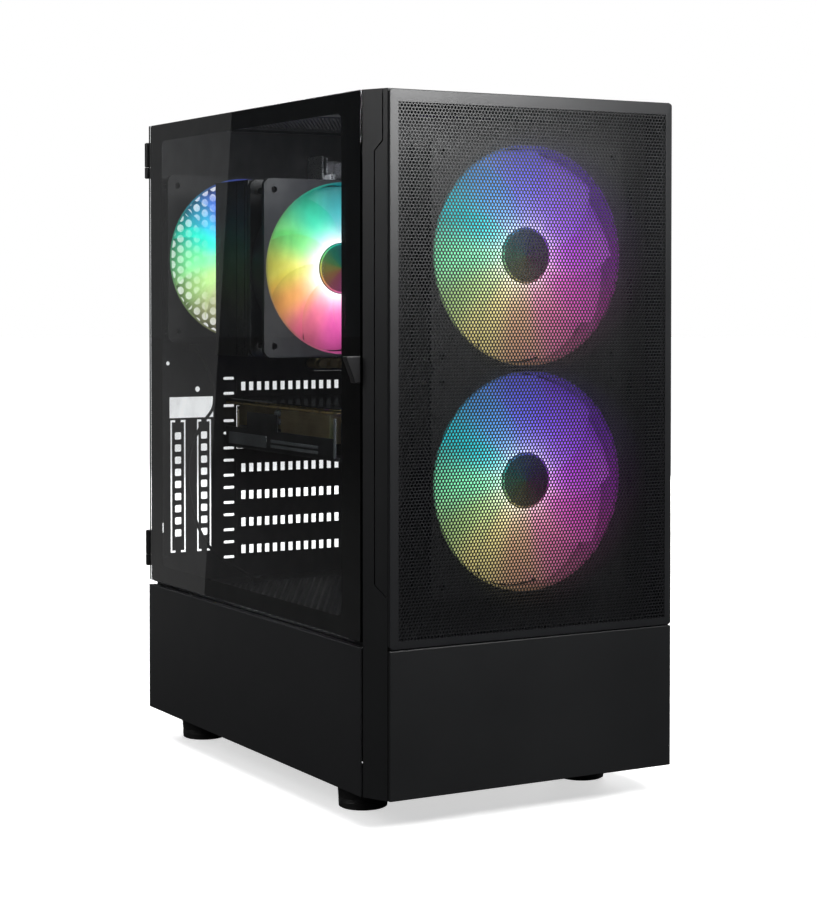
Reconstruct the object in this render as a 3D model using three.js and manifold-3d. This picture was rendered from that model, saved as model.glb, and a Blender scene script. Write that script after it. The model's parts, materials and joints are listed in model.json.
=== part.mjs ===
// Desktop computer tower: steel chassis, hinged glass door, perforated front and the machine inside.
// Millimetres, +Z up, front towards -Y, glass door towards -X.

import * as THREE from 'three';
import { mergeVertices } from 'three/addons/utils/BufferGeometryUtils.js';
import Module from 'manifold-3d';

const wasm = await Module();
wasm.setup();

// ---- Driving dimensions -------------------------------------------------------------------

const WIDTH = 224;              // glass face to right panel face
const FRONT_WIDTH = 206;        // front panels, between the tapered cheeks
const DEPTH = 346;              // front panels' face to the rear ends of the side panels
const FOOT_HEIGHT = 19;
const BODY_HEIGHT = 424;        // underside of the case to its top plate
const LOWER_PANEL_HEIGHT = 90;  // plain lower front panel and side skirt
const CHEEK_DEPTH = 20;         // the front moulding's tapered cheeks
const SHEET = 1.2;              // sheet steel
const GLASS = 4;
const GAP = 0.3;                // between pieces that touch
const SLOT_PITCH = 20.32;
const SLOT_COUNT = 7;
const FRONT_FAN = 139.6;
const SMALL_FAN = 120;
const FAN_DEPTH = 25;
const FAN_PITCH = 140;

// ---- Planes worked out from them ----------------------------------------------------------

const SIDE = WIDTH / 2;
const FRONT_SIDE = FRONT_WIDTH / 2;
const BASE = FOOT_HEIGHT;
const TOP = BASE + BODY_HEIGHT;
const SPLIT = BASE + LOWER_PANEL_HEIGHT;
const INNER_LEFT = -SIDE + GLASS + 0.5;
const INNER_RIGHT = SIDE - SHEET - GAP;
const CHEST = CHEEK_DEPTH + GAP;                 // first plane behind the front moulding
const REAR_INSIDE = DEPTH - 2 * SHEET;           // inner face of the rear wall
const REAR_OUTSIDE = REAR_INSIDE + SHEET;
const SHROUD_TOP = SPLIT + 0.6;
const TRAY = 76;                                 // left face of the motherboard tray
const BOARD = 70;                                // left face of the motherboard
const SLOT_BOTTOM = BASE + 111.3;                // lowest slot's centre line
const CARD_TOP = BASE + 225.6;
const HINGE_X = -SIDE + 0.5;
const HINGE_Y = DEPTH + 1.2;
const FRONT_FAN_X = 2;
const FRONT_FAN_Y = 12;
const REAR_FAN_X = -45.5;
const REAR_FAN_Z = BASE + 327.5;
const COOLER_X = -33;
const COOLER_Y = 186;
const FIN_DEPTH = 53;
const CARD_LENGTH = 181;
const COOLER_Z = BASE + 319.5;

// ---- Materials ----------------------------------------------------------------------------

const finish = (color, roughness, metalness) => new THREE.MeshStandardMaterial({ color, roughness, metalness });
const paint = () => finish(0x17181a, 0.55, 0.4);
const plastic = () => finish(0x1b1c1e, 0.6, 0);
const rubber = () => finish(0x101010, 0.85, 0);
const steel = () => finish(0xa8abb0, 0.35, 1);
const aluminium = () => finish(0xb9bcc0, 0.3, 1);
const lamp = () => finish(0xdfe6ee, 0.5, 0);
const board = () => finish(0x14161a, 0.5, 0.1);
const glass = () => {
  const pane = finish(0x202428, 0.05, 0);
  pane.transparent = true;
  pane.opacity = 0.35;
  return pane;
};

// ---- Geometry helpers ---------------------------------------------------------------------

const box = (x0, x1, y0, y1, z0, z1) =>
  new THREE.BoxGeometry(x1 - x0, y1 - y0, z1 - z0).translate((x0 + x1) / 2, (y0 + y1) / 2, (z0 + z1) / 2);

// A round bar whose axis runs along x, y or z from the given end point.
const rod = (axis, radius, length, x, y, z, sides = 24, farRadius = radius) => {
  const bar = new THREE.CylinderGeometry(farRadius, radius, length, sides).translate(0, length / 2, 0);
  if (axis === 'x') bar.rotateZ(-Math.PI / 2);
  if (axis === 'z') bar.rotateX(Math.PI / 2);
  return bar.translate(x, y, z);
};

const solid = (geometry) => {
  const bare = geometry.index ? geometry.toNonIndexed() : geometry.clone();
  bare.deleteAttribute('normal');
  bare.deleteAttribute('uv');
  const merged = mergeVertices(bare, 1e-4);
  const vertProperties = new Float32Array(merged.attributes.position.array);
  const triVerts = new Uint32Array(merged.index.array);
  return new wasm.Manifold(new wasm.Mesh({ numProp: 3, vertProperties, triVerts }));
};

const surface = (body) => {
  const mesh = body.getMesh();
  const geometry = new THREE.BufferGeometry();
  geometry.setAttribute('position', new THREE.BufferAttribute(new Float32Array(mesh.vertProperties), 3));
  geometry.setIndex(new THREE.BufferAttribute(new Uint32Array(mesh.triVerts), 1));
  geometry.computeVertexNormals();
  return geometry;
};

// One solid from the pieces joined, less the cuts.
const shaped = (pieces, cuts = []) => {
  const joined = pieces.map(solid).reduce((body, piece) => body.add(piece));
  return surface(cuts.map(solid).reduce((body, cut) => body.subtract(cut), joined));
};

// A flat outline in the XY plane, pushed up along Z.
const column = (points, z0, z1) => {
  const outline = new THREE.Shape(points.map(([x, y]) => new THREE.Vector2(x, y)));
  return new THREE.ExtrudeGeometry(outline, { depth: z1 - z0, bevelEnabled: false }).translate(0, 0, z0);
};

// A section in the XZ plane, pushed along Y.
const rail = (points, y0, y1) => {
  const section = new THREE.Shape(points.map(([x, z]) => new THREE.Vector2(x, z)));
  const bar = new THREE.ExtrudeGeometry(section, { depth: y1 - y0, bevelEnabled: false });
  return bar.rotateX(Math.PI / 2).translate(0, y1, 0);
};

const tower = new THREE.Group();

const add = (name, geometry, material) => {
  const mesh = new THREE.Mesh(geometry, material);
  mesh.name = name;
  tower.add(mesh);
  return mesh;
};

// ---- Chassis ------------------------------------------------------------------------------

const buildBase = () => {
  const lip = 20;
  const tray = rail([
    [INNER_RIGHT, BASE], [INNER_RIGHT, BASE + lip], [INNER_RIGHT - SHEET, BASE + lip],
    [INNER_RIGHT - SHEET, BASE + SHEET], [-INNER_RIGHT + SHEET, BASE + SHEET],
    [-INNER_RIGHT + SHEET, BASE + lip], [-INNER_RIGHT, BASE + lip], [-INNER_RIGHT, BASE],
  ], CHEST, REAR_INSIDE - GAP);
  const intake = box(-58, 58, 222, 326, BASE - 5, BASE + 5);
  add('chassis_base', shaped([tray], [intake]), paint());
};

const buildRearWall = () => {
  const plate = box(-SIDE + 6, INNER_RIGHT, REAR_INSIDE, REAR_OUTSIDE, BASE + SHEET + GAP, TOP - 2);
  const ports = box(24, 70.2, REAR_INSIDE - 5, DEPTH + 5, 262, 422);
  const supply = box(-74, 72, REAR_INSIDE - 5, DEPTH + 5, 24, 104);
  const slots = [];
  for (let slot = 0; slot < SLOT_COUNT; slot += 1) {
    const centre = SLOT_BOTTOM + slot * SLOT_PITCH;
    slots.push(box(-40, 58, REAR_INSIDE - 5, DEPTH + 5, centre - 6, centre + 6));
  }
  const cardSlot = SLOT_BOTTOM + 4 * SLOT_PITCH;
  slots.push(box(-40, 58, REAR_INSIDE - 5, DEPTH + 5, cardSlot, cardSlot + SLOT_PITCH));
  add('chassis_rear', shaped([plate], [ports, supply, ...slots]), paint());
};

const TOP_PORT_LEFT = -62;
const TOP_PORT_RIGHT = 62;
const TOP_PORT_FRONT = 26;
const TOP_PORT_REAR = 46;

const buildTopPlate = () => {
  const plate = box(INNER_LEFT, INNER_RIGHT, CHEST, REAR_OUTSIDE, TOP - 1.4, TOP);
  const ports = box(TOP_PORT_LEFT, TOP_PORT_RIGHT, TOP_PORT_FRONT, TOP_PORT_REAR, TOP - 5, TOP + 5);
  const vents = [box(-66, 66, 76, 192, TOP - 5, TOP + 5), box(-66, 66, 204, 320, TOP - 5, TOP + 5)];
  add('chassis_top', shaped([plate], [ports, ...vents]), paint());
};

const buildFrontWall = () => {
  const front = FRONT_FAN_Y + FAN_DEPTH + GAP;
  const floor = BASE + 21;
  const left = -SIDE + 5.5;
  const plate = box(left, INNER_RIGHT, front, front + SHEET, floor, TOP - 2);
  const leftFlange = box(left, left + SHEET, CHEST, front + 0.5, floor, TOP - 2);
  const rightFlange = box(INNER_RIGHT - SHEET, INNER_RIGHT, CHEST, front + 0.5, floor, TOP - 2);
  const air = [0, 1].map((fan) => rod('y', 64, 20, FRONT_FAN_X, front - 8, BASE + 186 + fan * FAN_PITCH, 32));
  const portBay = box(TOP_PORT_LEFT - 1, TOP_PORT_RIGHT + 1, front - 10, front + 5, TOP - 13, TOP);
  add('chassis_front', shaped([plate, leftFlange, rightFlange], [...air, portBay]), paint());
};

const buildTray = () => {
  const first = FRONT_FAN_Y + FAN_DEPTH + 2 * GAP + SHEET;
  const plate = box(TRAY, TRAY + SHEET, first, REAR_INSIDE - GAP, BASE + 21, TOP - 2);
  const window = box(TRAY - 5, TRAY + 5, 205, 290, 290, 388);
  const grommets = [box(TRAY - 5, TRAY + 5, 66, 90, 150, 205), box(TRAY - 5, TRAY + 5, 66, 90, 250, 305)];
  const standoffs = [];
  for (const y of [106, 180, 336]) {
    for (const z of [187, 300, 417]) {
      standoffs.push(rod('x', 2.5, TRAY - BOARD - 1.6 - GAP + 0.2, BOARD + 1.6 + GAP, y, z, 8));
    }
  }
  add('motherboard_tray', shaped([plate, ...standoffs], [window, ...grommets]), paint());
};

const buildShroud = () => {
  const first = FRONT_FAN_Y + FAN_DEPTH + 2 * GAP + SHEET;
  const cover = rail([
    [-SIDE + 5.5, BASE + 21], [-SIDE + 6.7, BASE + 21], [-SIDE + 6.7, SHROUD_TOP - SHEET],
    [TRAY - GAP, SHROUD_TOP - SHEET], [TRAY - GAP, SHROUD_TOP], [-SIDE + 5.5, SHROUD_TOP],
  ], first, REAR_INSIDE - GAP);
  add('psu_shroud', cover, paint());
};

const buildSidePanels = () => {
  const skirt = rail([
    [-SIDE, BASE], [-SIDE + SHEET, BASE], [-SIDE + SHEET, SPLIT - SHEET], [-SIDE + 5, SPLIT - SHEET],
    [-SIDE + 5, SPLIT], [-SIDE, SPLIT],
  ], CHEST, DEPTH);
  add('side_skirt', skirt, paint());
  const sheet = box(SIDE - SHEET, SIDE, CHEST, DEPTH, BASE, TOP);
  const fold = box(SIDE - 14, SIDE - 0.5, REAR_OUTSIDE + GAP, DEPTH, BASE + 4, TOP - 4);
  add('right_side_panel', shaped([sheet, fold]), paint());
  for (const [place, z] of [['upper', TOP - 50], ['lower', BASE + 50]]) {
    const knob = rod('y', 5.2, 4, SIDE - 8, DEPTH + GAP, z, 20);
    add(`thumbscrew_${place}`, knob, steel());
  }
};

const buildFeet = () => {
  for (const [side, x] of [['left', -1], ['right', 1]]) {
    for (const [end, y] of [['front', 72], ['rear', 314]]) {
      const height = FOOT_HEIGHT - GAP;
      const profile = [[0, 0], [14.6, 0], [15.6, 1.2], [16.5, height], [0, height]];
      const outline = profile.map(([r, z]) => new THREE.Vector2(r, z));
      const foot = add(`foot_${end}_${side}`, new THREE.LatheGeometry(outline, 32).rotateX(Math.PI / 2), rubber());
      foot.position.set(x * (FRONT_SIDE - 20.7), y, 0);
    }
  }
};

// ---- Front --------------------------------------------------------------------------------

const FRONT_PLATE = 2.6;

const buildFront = () => {
  const shoulder = SIDE - 1.5;
  const back = FRONT_PLATE + GAP;
  const block = column([[-FRONT_SIDE, back], [FRONT_SIDE, back], [shoulder, CHEEK_DEPTH], [-shoulder, CHEEK_DEPTH]],
    BASE, TOP);
  const well = box(-FRONT_SIDE + 5, FRONT_SIDE - 5, -5, CHEEK_DEPTH + 5, SPLIT + 6, TOP - 7);
  const pocket = box(-FRONT_SIDE + 5, FRONT_SIDE - 5, 6, CHEEK_DEPTH + 5, BASE + 3, SPLIT - 6);
  add('front_bezel', shaped([block], [well, pocket]), plastic());
  add('front_mesh_panel', box(-FRONT_SIDE, FRONT_SIDE, 0, FRONT_PLATE, SPLIT + 0.6, TOP - 0.5), paint());
  add('front_lower_panel', box(-FRONT_SIDE, FRONT_SIDE, 0, FRONT_PLATE, BASE, SPLIT), plastic());
};

// ---- Top ports and buttons ----------------------------------------------------------------

const buildTopPorts = () => {
  const middle = (TOP_PORT_FRONT + TOP_PORT_REAR) / 2;
  const power = [44, 7];
  const reset = [24, 3];
  const sockets = [['usb_port_left', -22], ['usb_port_right', 2]];
  const strip = box(TOP_PORT_LEFT + GAP, TOP_PORT_RIGHT - GAP, TOP_PORT_FRONT + GAP, TOP_PORT_REAR - GAP,
    TOP - 12, TOP + 0.6);
  const cuts = [rod('z', power[1] + GAP, 30, power[0], middle, TOP - 8.5, 24),
    rod('z', reset[1] + GAP, 30, reset[0], middle, TOP - 8.5, 16),
    rod('z', 4.3, 30, -46, middle, TOP - 15, 16)];
  for (const [, x] of sockets) cuts.push(box(x - 7.6, x + 7.6, middle - 4, middle + 4, TOP - 20, TOP + 5));
  add('io_panel', shaped([strip], cuts), plastic());
  add('power_button', rod('z', power[1], 7.4, power[0], middle, TOP - 5.8, 24), plastic());
  add('reset_button', rod('z', reset[1], 6.4, reset[0], middle, TOP - 5.4, 16), plastic());
  for (const [name, x] of sockets) {
    const shell = box(x - 7.3, x + 7.3, middle - 3.7, middle + 3.7, TOP - 11.8, TOP + 0.4);
    const mouth = box(x - 6.2, x + 6.2, middle - 2.6, middle + 2.6, TOP - 9.5, TOP + 5);
    add(name, shaped([shell], [mouth]), steel());
  }
  const jack = rod('z', 4, 12, -46, middle, TOP - 11.6, 16);
  add('audio_jack', shaped([jack], [rod('z', 1.8, 20, -46, middle, TOP - 9, 12)]), plastic());
};

const buildFilters = () => {
  add('top_dust_filter', box(-74, 74, 66, 330, TOP + GAP, TOP + 1.5), plastic());
  const tray = box(-63, 63, 214, DEPTH, BASE - 3.2, BASE - GAP);
  const grip = box(-18, 18, DEPTH - 1, DEPTH + 3, BASE - 6, BASE - GAP);
  add('psu_dust_filter', shaped([tray, grip]), plastic());
};

// ---- Glass door ---------------------------------------------------------------------------

const DOOR_BOTTOM = BASE + 93.2;
const DOOR_TOP = TOP;
const KNUCKLE = 2.3;
const PULL_Z = BASE + 249;

const buildDoor = () => {
  const pane = box(-SIDE, -SIDE + GLASS, CHEST, DEPTH - 1.4, DOOR_BOTTOM, DOOR_TOP);
  add('glass_door', pane, glass());
  const wedge = column([[0, 0], [0, 16], [-9, 16], [-10, 14.5], [-10, 13.5], [-4, 0]], 0, 5.5).rotateX(Math.PI / 2);
  add('door_pull', wedge.translate(-SIDE - GAP, CHEST + 4.5, PULL_Z), plastic());
  for (const [place, z] of [['upper', BASE + 386], ['lower', BASE + 103.5]]) {
    const cuff = z + 8;
    const leaf = box(INNER_LEFT - 0.2, INNER_LEFT + 0.8, DEPTH - 22, DEPTH + 0.8, cuff + GAP, z + 26);
    const web = box(HINGE_X, INNER_LEFT + 0.8, DEPTH - 0.4, DEPTH + 0.8, cuff + GAP, z + 26);
    const barrel = rod('z', KNUCKLE, 18 - GAP, HINGE_X, HINGE_Y, cuff + GAP, 20);
    add(`door_hinge_${place}`, shaped([leaf, web, barrel]), steel());
    const arm = box(HINGE_X, -90, REAR_OUTSIDE + GAP, DEPTH + 0.5, z, cuff);
    const post = rod('z', KNUCKLE, 8, HINGE_X, HINGE_Y, z, 20);
    add(`hinge_bracket_${place}`, shaped([arm, post]), steel());
  }
};

// ---- Fans ---------------------------------------------------------------------------------

// Turning part of a fan about its own Y axis, facing -Y, with its front face at y = 0.
const fanRotor = (hub, reach, depth, blades) => {
  const pieces = [rod('y', hub, depth, 0, 0, 0, 24)];
  for (let blade = 0; blade < blades; blade += 1) {
    const vane = new THREE.BoxGeometry(reach * 0.42, 1.6, reach - hub + 2);
    vane.rotateZ(-0.5).translate(0, depth / 2, (hub + reach) / 2 - 1);
    pieces.push(vane.rotateY((blade / blades) * 2 * Math.PI));
  }
  return shaped(pieces);
};

// Square frame with a round bore, facing -Y, and four spokes that hold the motor at the back.
const fanFrame = (size, bore, motor) => {
  const half = size / 2;
  const shell = shaped([box(-half, half, 0, FAN_DEPTH, -half, half)], [rod('y', bore, 60, 0, -20, 0, 40)]);
  const spokes = [0, 1].map((turn) => {
    const bar = box(-bore - 1, bore + 1, FAN_DEPTH - 3.5, FAN_DEPTH, -2, 2);
    return bar.rotateY(Math.PI / 4 + (turn * Math.PI) / 2);
  });
  return shaped([shell, ...spokes, rod('y', motor, 3.5, 0, FAN_DEPTH - 3.5, 0, 24)]);
};

const addFan = (name, size, hub, x, y, z) => {
  const bore = size / 2 - 2.3;
  const frame = add(`${name}_frame`, fanFrame(size, bore, hub), plastic());
  frame.position.set(x, y, z);
  const rotor = add(`${name}_rotor`, fanRotor(hub, bore - 1.5, 17, 9), lamp());
  rotor.position.set(x, y + 2, z);
};

const buildFans = () => {
  addFan('front_fan_upper', FRONT_FAN, 19.5, FRONT_FAN_X, FRONT_FAN_Y, BASE + 186 + FAN_PITCH);
  addFan('front_fan_lower', FRONT_FAN, 19.5, FRONT_FAN_X, FRONT_FAN_Y, BASE + 186);
  addFan('rear_fan', SMALL_FAN, 19.5, REAR_FAN_X, REAR_INSIDE - GAP - FAN_DEPTH, REAR_FAN_Z);
  addFan('cooler_fan', SMALL_FAN, 19.5, COOLER_X, COOLER_Y, COOLER_Z);
};

// ---- Motherboard and what plugs into it -----------------------------------------------------

const buildMotherboard = () => {
  const bottom = 180;
  const sheet = box(BOARD, BOARD + 1.6, 99, REAR_INSIDE - GAP, bottom, bottom + 244);
  const slots = [1, 2, 3].map((row) => {
    const z = SLOT_BOTTOM + (SLOT_COUNT - 1 - row) * SLOT_PITCH;
    return box(59, BOARD + 0.5, 190, 285, z + 4, z + 12);
  });
  const memorySlots = [155, 165].map((y) => box(62, BOARD + 0.5, y, y + 7, 268, 406));
  const regulator = box(44, BOARD + 0.5, 214, 300, 404, 421);
  const socket = box(64, BOARD + 0.5, 216, 262, 316, 361);
  add('motherboard', shaped([sheet, ...slots, ...memorySlots, regulator, socket]), board());
  for (const [place, y] of [['front', 155], ['rear', 165]]) {
    add(`memory_module_${place}`, box(30, 62 - GAP, y + 1.2, y + 5.8, 270.5, 403.5), board());
  }
  add('io_port_block', box(26, BOARD - GAP, 305, DEPTH - 0.5, 264, 420), steel());
};

const buildCooler = () => {
  const half = SMALL_FAN / 2;
  const first = COOLER_Y + FAN_DEPTH + GAP;
  const fins = box(COOLER_X - half, 18, first, first + FIN_DEPTH, COOLER_Z - half, COOLER_Z + half);
  add('cooler_fin_stack', fins, aluminium());
  const centre = first + FIN_DEPTH / 2;
  const pieces = [box(52, 64 - GAP, centre - 20, centre + 20, COOLER_Z - 20, COOLER_Z + 20)];
  for (let pipe = 0; pipe < 4; pipe += 1) {
    pieces.push(rod('x', 3, 35, 18 + GAP, centre, COOLER_Z - 15 + pipe * 10, 12));
  }
  add('cooler_base', shaped(pieces), finish(0xb87a4a, 0.3, 1));
};

const buildGraphicsCard = () => {
  const left = -51;
  const front = REAR_INSIDE - CARD_LENGTH;
  const rear = REAR_INSIDE - 1;
  const slotX = 59 - GAP;
  const plate = box(left, 56, front, rear, CARD_TOP - 1.2, CARD_TOP);
  const circuit = box(left + 2, slotX, front + 8, rear, CARD_TOP - 4.6, CARD_TOP - 3);
  const posts = [front + 20, rear - 20].map((y) => box(left + 10, left + 16, y, y + 6, CARD_TOP - 4, CARD_TOP - 1));
  add('graphics_board', shaped([plate, circuit, ...posts]), board());
  const wells = [front + 46, front + 135];
  const cover = box(left, 56, front, rear, CARD_TOP - 36, CARD_TOP - 5);
  const cuts = wells.map((y) => rod('z', 43, 20, 2.5, y, CARD_TOP - 46, 32));
  add('graphics_shroud', shaped([cover], cuts), plastic());
  for (const [place, y] of [['front', wells[0]], ['rear', wells[1]]]) {
    const rotor = add(`graphics_fan_${place}`, fanRotor(15, 41, 8, 9).rotateX(Math.PI / 2), plastic());
    rotor.position.set(2.5, y, CARD_TOP - 35.5);
  }
  const bracketZ = SLOT_BOTTOM + 4 * SLOT_PITCH;
  add('graphics_bracket', box(-39, 57, REAR_INSIDE - 0.7, REAR_OUTSIDE, bracketZ - 5.7, bracketZ + 5.7 + SLOT_PITCH),
    steel());
};

const buildSlotCovers = () => {
  for (const row of [1, 4, 5, 6, 7]) {
    const z = SLOT_BOTTOM + (SLOT_COUNT - row) * SLOT_PITCH;
    add(`slot_cover_${row}`, box(-39.5, 57.5, REAR_INSIDE + 0.1, REAR_OUTSIDE - 0.1, z - 5.7, z + 5.7), paint());
  }
};

// ---- Power supply and storage ---------------------------------------------------------------

const buildPowerSupply = () => {
  const rear = REAR_INSIDE - GAP;
  const can = box(-75.5, 74.5, rear - 140, rear, BASE + 1.6, BASE + 87.6);
  const inletX = -52;
  const inletZ = 50;
  const switchX = -18;
  const recess = box(inletX - 14, inletX + 14, rear - 18, rear + 5, inletZ - 10, inletZ + 10);
  const rockerBay = box(switchX - 11, switchX + 11, rear - 12, rear + 5, inletZ - 9, inletZ + 9);
  add('power_supply', shaped([can], [recess, rockerBay]), paint());
  const sleeve = box(inletX - 13.7, inletX + 13.7, rear - 17.7, DEPTH, inletZ - 9.7, inletZ + 9.7);
  const mouth = box(inletX - 12, inletX + 12, rear - 15.5, DEPTH + 5, inletZ - 8, inletZ + 8);
  add('psu_inlet', shaped([sleeve], [mouth]), plastic());
  const paddle = new THREE.Shape([
    new THREE.Vector2(-6.5, 0), new THREE.Vector2(0, 1.4), new THREE.Vector2(6.5, 3), new THREE.Vector2(5.5, -5),
    new THREE.Vector2(-5.5, -5),
  ]);
  const rocker = new THREE.ExtrudeGeometry(paddle, { depth: 18, bevelEnabled: false });
  rocker.rotateY(Math.PI / 2).rotateX(Math.PI / 2);
  const span = new THREE.Box3().setFromBufferAttribute(rocker.attributes.position);
  rocker.translate(switchX - (span.min.x + span.max.x) / 2, rear - 1, inletZ);
  add('psu_rocker_switch', rocker, plastic());
  add('solid_state_drive', box(TRAY + SHEET + GAP, TRAY + SHEET + GAP + 7, 120, 220, 150, 220), board());
};

// ---- Internal lead --------------------------------------------------------------------------

const leadRoute = [
  [-80, 330, 282], [-76, 318, 268], [-74, 310, 253], [-76, 306, 239], [-85, 306, 227], [-93, 306, 211],
  [-96, 306, 195], [-95, 306, 180], [-91, 306, 162], [-83, 306, 144], [-71, 306, 130], [-57, 306, 121.5],
  [-42, 306, 112],
];

const buildLead = () => {
  const curve = new THREE.CatmullRomCurve3(leadRoute.map(([x, y, z]) => new THREE.Vector3(x, y, z)));
  const section = new THREE.Shape();
  section.absarc(0, 0, 1.1, 0, 2 * Math.PI, false);
  const tube = new THREE.ExtrudeGeometry(section, { steps: 52, curveSegments: 4, extrudePath: curve });
  add('fan_lead', tube, rubber());
};

buildBase();
buildRearWall();
buildTopPlate();
buildFrontWall();
buildTray();
buildShroud();
buildSidePanels();
buildFeet();
buildFront();
buildTopPorts();
buildFilters();
buildDoor();
buildFans();
buildMotherboard();
buildCooler();
buildGraphicsCard();
buildSlotCovers();
buildPowerSupply();
buildLead();

// Put the origin at the bottom centre of the whole case.
tower.updateMatrixWorld(true);
const bounds = new THREE.Box3().setFromObject(tower, true);
const centre = bounds.getCenter(new THREE.Vector3());
tower.position.set(-centre.x, -centre.y, -bounds.min.z);

export default tower;
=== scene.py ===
"""Desktop computer tower: shells, glass door, lit fans and the machine inside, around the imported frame."""

import json
import math
import random

import bmesh
import bpy
from mathutils import Matrix, Quaternion, Vector
from mathutils.geometry import delaunay_2d_cdt


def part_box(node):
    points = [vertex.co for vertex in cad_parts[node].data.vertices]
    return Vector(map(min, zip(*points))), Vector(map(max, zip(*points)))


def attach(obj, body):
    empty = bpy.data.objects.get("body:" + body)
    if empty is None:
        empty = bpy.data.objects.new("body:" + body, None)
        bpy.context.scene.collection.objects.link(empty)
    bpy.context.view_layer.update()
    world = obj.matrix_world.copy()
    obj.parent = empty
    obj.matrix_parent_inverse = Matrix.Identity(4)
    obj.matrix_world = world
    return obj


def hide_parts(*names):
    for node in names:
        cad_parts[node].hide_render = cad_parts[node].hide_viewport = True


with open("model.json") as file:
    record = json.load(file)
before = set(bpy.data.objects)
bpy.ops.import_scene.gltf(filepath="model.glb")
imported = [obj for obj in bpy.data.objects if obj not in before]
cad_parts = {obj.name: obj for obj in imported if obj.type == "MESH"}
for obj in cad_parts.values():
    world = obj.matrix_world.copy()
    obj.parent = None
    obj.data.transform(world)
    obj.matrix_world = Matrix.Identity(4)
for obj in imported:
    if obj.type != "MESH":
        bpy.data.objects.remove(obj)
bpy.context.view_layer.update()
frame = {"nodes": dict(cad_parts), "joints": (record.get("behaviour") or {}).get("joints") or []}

bl_info = {
    "name": "Computer Tower",
    "version": (1, 0, 0),
    "blender": (4, 5, 0),
    "location": "View3D > Sidebar > Tower",
    "description": "Builds the visible shells, fans and boards of a desktop computer tower",
    "category": "Object",
}

MM = 0.001
CASE = "case"
# Thickness of the case's sheet steel.
STEEL = 1.2 * MM
# Which way each corner of a square lies from its middle: across, then up.
CORNERS = ((-1, -1), (-1, 1), (1, -1), (1, 1))
# Expansion slots count from the top; the card takes two of them and fills their openings.
SLOT_PITCH = 20.32 * MM
SLOT_ROWS = (7, 6, 5, 4, 3, 2, 1)
CARD_ROWS = (2, 3)
# From a fan's axis to its screws.
SMALL_FAN_SCREW = 52.5 * MM
LARGE_FAN_SCREW = 62.5 * MM
# Edges sharper than this stay sharp, and meshes with more faces than this keep plain shading.
SHARP_ANGLE = math.radians(32)
FLATTEN_LIMIT = 20000


# ---- Settings -----------------------------------------------------------------------------


class TowerShellSettings(bpy.types.PropertyGroup):
    """Sizes of the steel shells, the perforated front and the door"""

    hole_pitch: bpy.props.FloatProperty(
        name="Front hole pitch", description="Distance between holes in the front panel", default=2.31 * MM,
        min=0.001, unit="LENGTH")
    hole_width: bpy.props.FloatProperty(
        name="Front hole width", description="Across one hole in the front panel", default=1.74 * MM,
        min=0.0005, unit="LENGTH")
    border_side: bpy.props.FloatProperty(
        name="Door border, front", description="Printed border along the door's front edge",
        default=27.2 * MM, unit="LENGTH")
    border_rear: bpy.props.FloatProperty(
        name="Door border, rear", description="Printed border along the hinge edge", default=20.6 * MM,
        unit="LENGTH")
    border_top: bpy.props.FloatProperty(
        name="Door border, top and bottom", description="Printed border along the top and bottom edges",
        default=12 * MM, unit="LENGTH")
    groove: bpy.props.FloatProperty(
        name="Cheek groove", description="Width of the line moulded into the front cheeks", default=0.9 * MM,
        unit="LENGTH")


class TowerFanSettings(bpy.types.PropertyGroup):
    """Blades and light of the fans"""

    blades: bpy.props.IntProperty(name="Blades", description="Blades on each fan", default=9, min=3)
    front_glow: bpy.props.FloatProperty(
        name="Front glow", description="Light of the two front fans", default=3.0, min=0)
    cooler_glow: bpy.props.FloatProperty(
        name="Cooler glow", description="Light of the cooler's fan", default=2.0, min=0)
    rear_glow: bpy.props.FloatProperty(
        name="Rear glow", description="Light of the rear fan", default=1.9, min=0)


class TowerPaintSettings(bpy.types.PropertyGroup):
    """Colours of the main finishes"""

    steel: bpy.props.FloatVectorProperty(
        name="Powder coat", description="Painted steel", subtype="COLOR", default=(0.014, 0.0145, 0.016))
    plastic: bpy.props.FloatVectorProperty(
        name="Moulded plastic", description="Front moulding", subtype="COLOR",
        default=(0.013, 0.0135, 0.0145))
    inside: bpy.props.FloatVectorProperty(
        name="Inside steel", description="Painted steel inside the case", subtype="COLOR",
        default=(0.008, 0.008, 0.009))


class TowerStageSettings(bpy.types.PropertyGroup):
    """Camera and lights"""

    lens: bpy.props.FloatProperty(name="Lens", description="Focal length in millimetres", default=85.4)
    offset: bpy.props.FloatVectorProperty(
        name="Camera offset", description="Camera from the front panels' lower left corner",
        subtype="TRANSLATION", unit="LENGTH", default=(-0.6144, -1.1023, 0.3031))
    yaw: bpy.props.FloatProperty(
        name="Yaw", description="Turn of the camera from straight ahead", subtype="ANGLE",
        default=math.radians(29.66))
    pitch: bpy.props.FloatProperty(
        name="Pitch", description="Tilt of the camera below level", subtype="ANGLE",
        default=math.radians(1.33))
    shift: bpy.props.FloatProperty(name="Shift", description="Vertical lens shift", default=-0.12)
    ambient: bpy.props.FloatProperty(
        name="Ambient", description="Light that comes from all round", default=0.035, min=0)


# ---- Mesh helpers -------------------------------------------------------------------------


def corners(node):
    """Lowest and highest corner of a CAD node."""
    low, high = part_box(node)
    return Vector(low), Vector(high)


def centre_of(node):
    """Middle of a CAD node's box."""
    low, high = corners(node)
    return (low + high) / 2


def add_box(bm, low, high, bevel=0.0, segments=2):
    """A box between two corners, with rounded edges where bevel is given."""
    low, high = Vector(low), Vector(high)
    size = high - low
    placed = Matrix.Translation((low + high) / 2) @ Matrix.Diagonal((*size, 1))
    made = bmesh.ops.create_cube(bm, size=1, matrix=placed)
    if bevel:
        edges = list({edge for vert in made["verts"] for edge in vert.link_edges})
        width = min(bevel, min(size) * 0.45)
        bmesh.ops.bevel(bm, geom=edges, offset=width, segments=segments, profile=0.5, affect="EDGES")


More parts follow.
